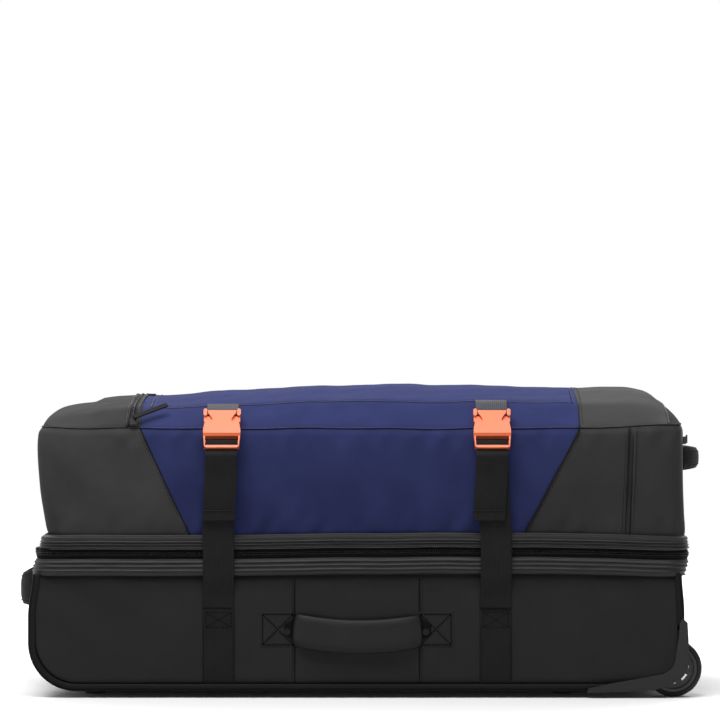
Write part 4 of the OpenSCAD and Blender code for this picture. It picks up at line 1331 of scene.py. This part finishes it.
def build_end_zip():
    """Zip of the wheel end pocket, lying on the bulged end wall."""
    lo, hi = box_mm("end_pocket_zip")
    y = np.linspace(lo[1], hi[1], 60)
    z = (lo[2] + hi[2]) / 2
    end = WALL[SIDE_N + CORNER_N:SIDE_N + CORNER_N + END_N]
    at_z = [np.interp(z, c[:, 2], c[:, 0]) for c in end]
    path = np.stack([np.interp(y, end[:, 0, 1], at_z) + 1.1, y, np.full(60, z)], 1)
    tape = ribbon("end_zip_tape", path, 9, 1.0, M_TAPE, (0, 0, 1))
    put(tape, "upper", "end_pocket_zip")
    teeth = stitches("end_zip_teeth", [(path, (1, 0, 0))], M_HUB, 1.9, 1.2, 1.0, 0.0)
    put(teeth, "upper")


def build_hinge():
    """The cloth hinge between the compartments, on the far side."""
    lo, hi = box_mm("hinge_tape")
    X, Z = grid(np.linspace(lo[0], hi[0], 40), np.linspace(SPLIT_Z - 8, SPLIT_Z + 8, 17))
    points = np.stack([X, np.full_like(X, HALF_W + 6.4), Z + bow(X)], -1)
    cloth = thicken(grid_object("hinge_cloth", points, np.stack([X, Z], -1), [M_BAND]), 1.0)
    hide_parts("hinge_tape")
    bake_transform(cloth)


def build_topstitching():
    """Stitches beside the main seams, a thread's width proud of the cloth, and the panels' seams, darkened
    with black thread tubes as painted shade.
    """
    upper, lower = [], []
    for side, tag in SIDES:
        z = np.linspace(BAND_TOP + 5, SHOULDER_Z - 4, 44)
        groove = groove_x((z - BAND_TOP) / (SHOULDER_Z - BAND_TOP))
        for x in (blue_edge(-1, z) - 3.2, blue_edge(1, z) + 3.2, groove - 6.5, groove + 6.5):
            upper.append((on_wall(x, z, 0.1, side), (0, side, 0)))
        for x, beside, end in ((SEAM_LEFT, -3, "left"), (SEAM_RIGHT, 3, "right")):
            seam = on_side(x, np.linspace(18, SIDE_TOP - 1, 50)) * (1, -side, 1)
            # a black thread tube along the upright seam's valley: painted shade that darkens the seam line
            put(tube(f"panel_seam_shade_{tag}_{end}", seam, 0.55, M_THREAD, 6), "lower")
            run = on_side(x + beside, np.linspace(22, SIDE_TOP - 4, 40), 0.1) * (1, -side, 1)
            lower.append((run, (0, side, 0)))
    upper.append(on_top(BLUE_X + 3.4, np.linspace(-TOP_HALF + 6, TOP_HALF - 6, 110), 0.1))
    put(stitches("upper_topstitch", upper, M_THREAD, r=0.3), "upper")
    put(stitches("lower_topstitch", lower, M_THREAD, r=0.35), "lower")


build_quick_pocket()
build_flap_edge()
build_end_zip()
build_hinge()
build_topstitching()

# ---- floor, lights and camera


def build_floor():
    """A floor that reaches further towards the camera than behind the bag."""
    towards, behind, z = 12.0, 3.2, -0.0002
    mesh = bpy.data.meshes.new("floor")
    corners = [(x, y, z) for x, y in ((-towards, -towards), (towards, -towards),
                                      (towards, behind), (-towards, behind))]
    mesh.from_pydata(corners, [], [(0, 1, 2, 3)])
    floor = new_object("floor", mesh)
    mesh.materials.append(Shader("pale_floor", (0.96, 0.96, 0.96), 0.95, Specular_IOR_Level=0.0).mat)
    floor.visible_diffuse = False


def build_backdrop():
    """White behind the bag and round the horizon, and dimmer on the camera's side of the studio."""
    world = bpy.data.worlds.new("studio")
    bpy.context.scene.world = world
    world.use_nodes = True
    n = Nodes(world.node_tree)
    source = n.node("ShaderNodeTexCoord").outputs["Generated"]
    parts = n.node("ShaderNodeSeparateXYZ", {"Vector": source}).outputs
    fade = n.ramp(parts["Y"], 0.22, 1.0, -0.2, 0.8, interpolation_type="SMOOTHSTEP")
    horizon = n.ramp(n.math("ABSOLUTE", parts["Z"]), 1.0, 0.0, 0.11, 0.16)
    background = n.tree.nodes["Background"].inputs
    n.join(background["Color"], (1, 1, 1, 1))
    n.join(background["Strength"], n.math("MAXIMUM", fade, horizon))


def area_light(name, place, target, size, power):
    light = bpy.data.lights.new(name, "AREA")
    light.shape = "RECTANGLE"
    light.size, light.size_y = size
    light.energy = power
    o = new_object(name, light)
    o.location = place
    o.rotation_euler = (Vector(target) - Vector(place)).to_track_quat("-Z", "Y").to_euler()


def build_camera():
    camera = bpy.data.cameras.new("camera")
    camera.lens = 190.7
    camera.sensor_width = 36.0
    camera.clip_end = 50
    o = new_object("camera", camera)
    o.location = (0, -4.685, 0.399)
    o.rotation_euler = (math.pi / 2, 0, 0)
    bpy.context.scene.camera = o
    bpy.context.scene.view_settings.view_transform = "Standard"


build_floor()
build_backdrop()
area_light("key_box", (-0.5, -1.25, 2.5), (0, 0, 0.2), (2.6, 1.2), 72)
area_light("back_box", (0, 2.5, 2.8), (0, 2.2, 0.0), (5.0, 2.6), 140)
build_camera()
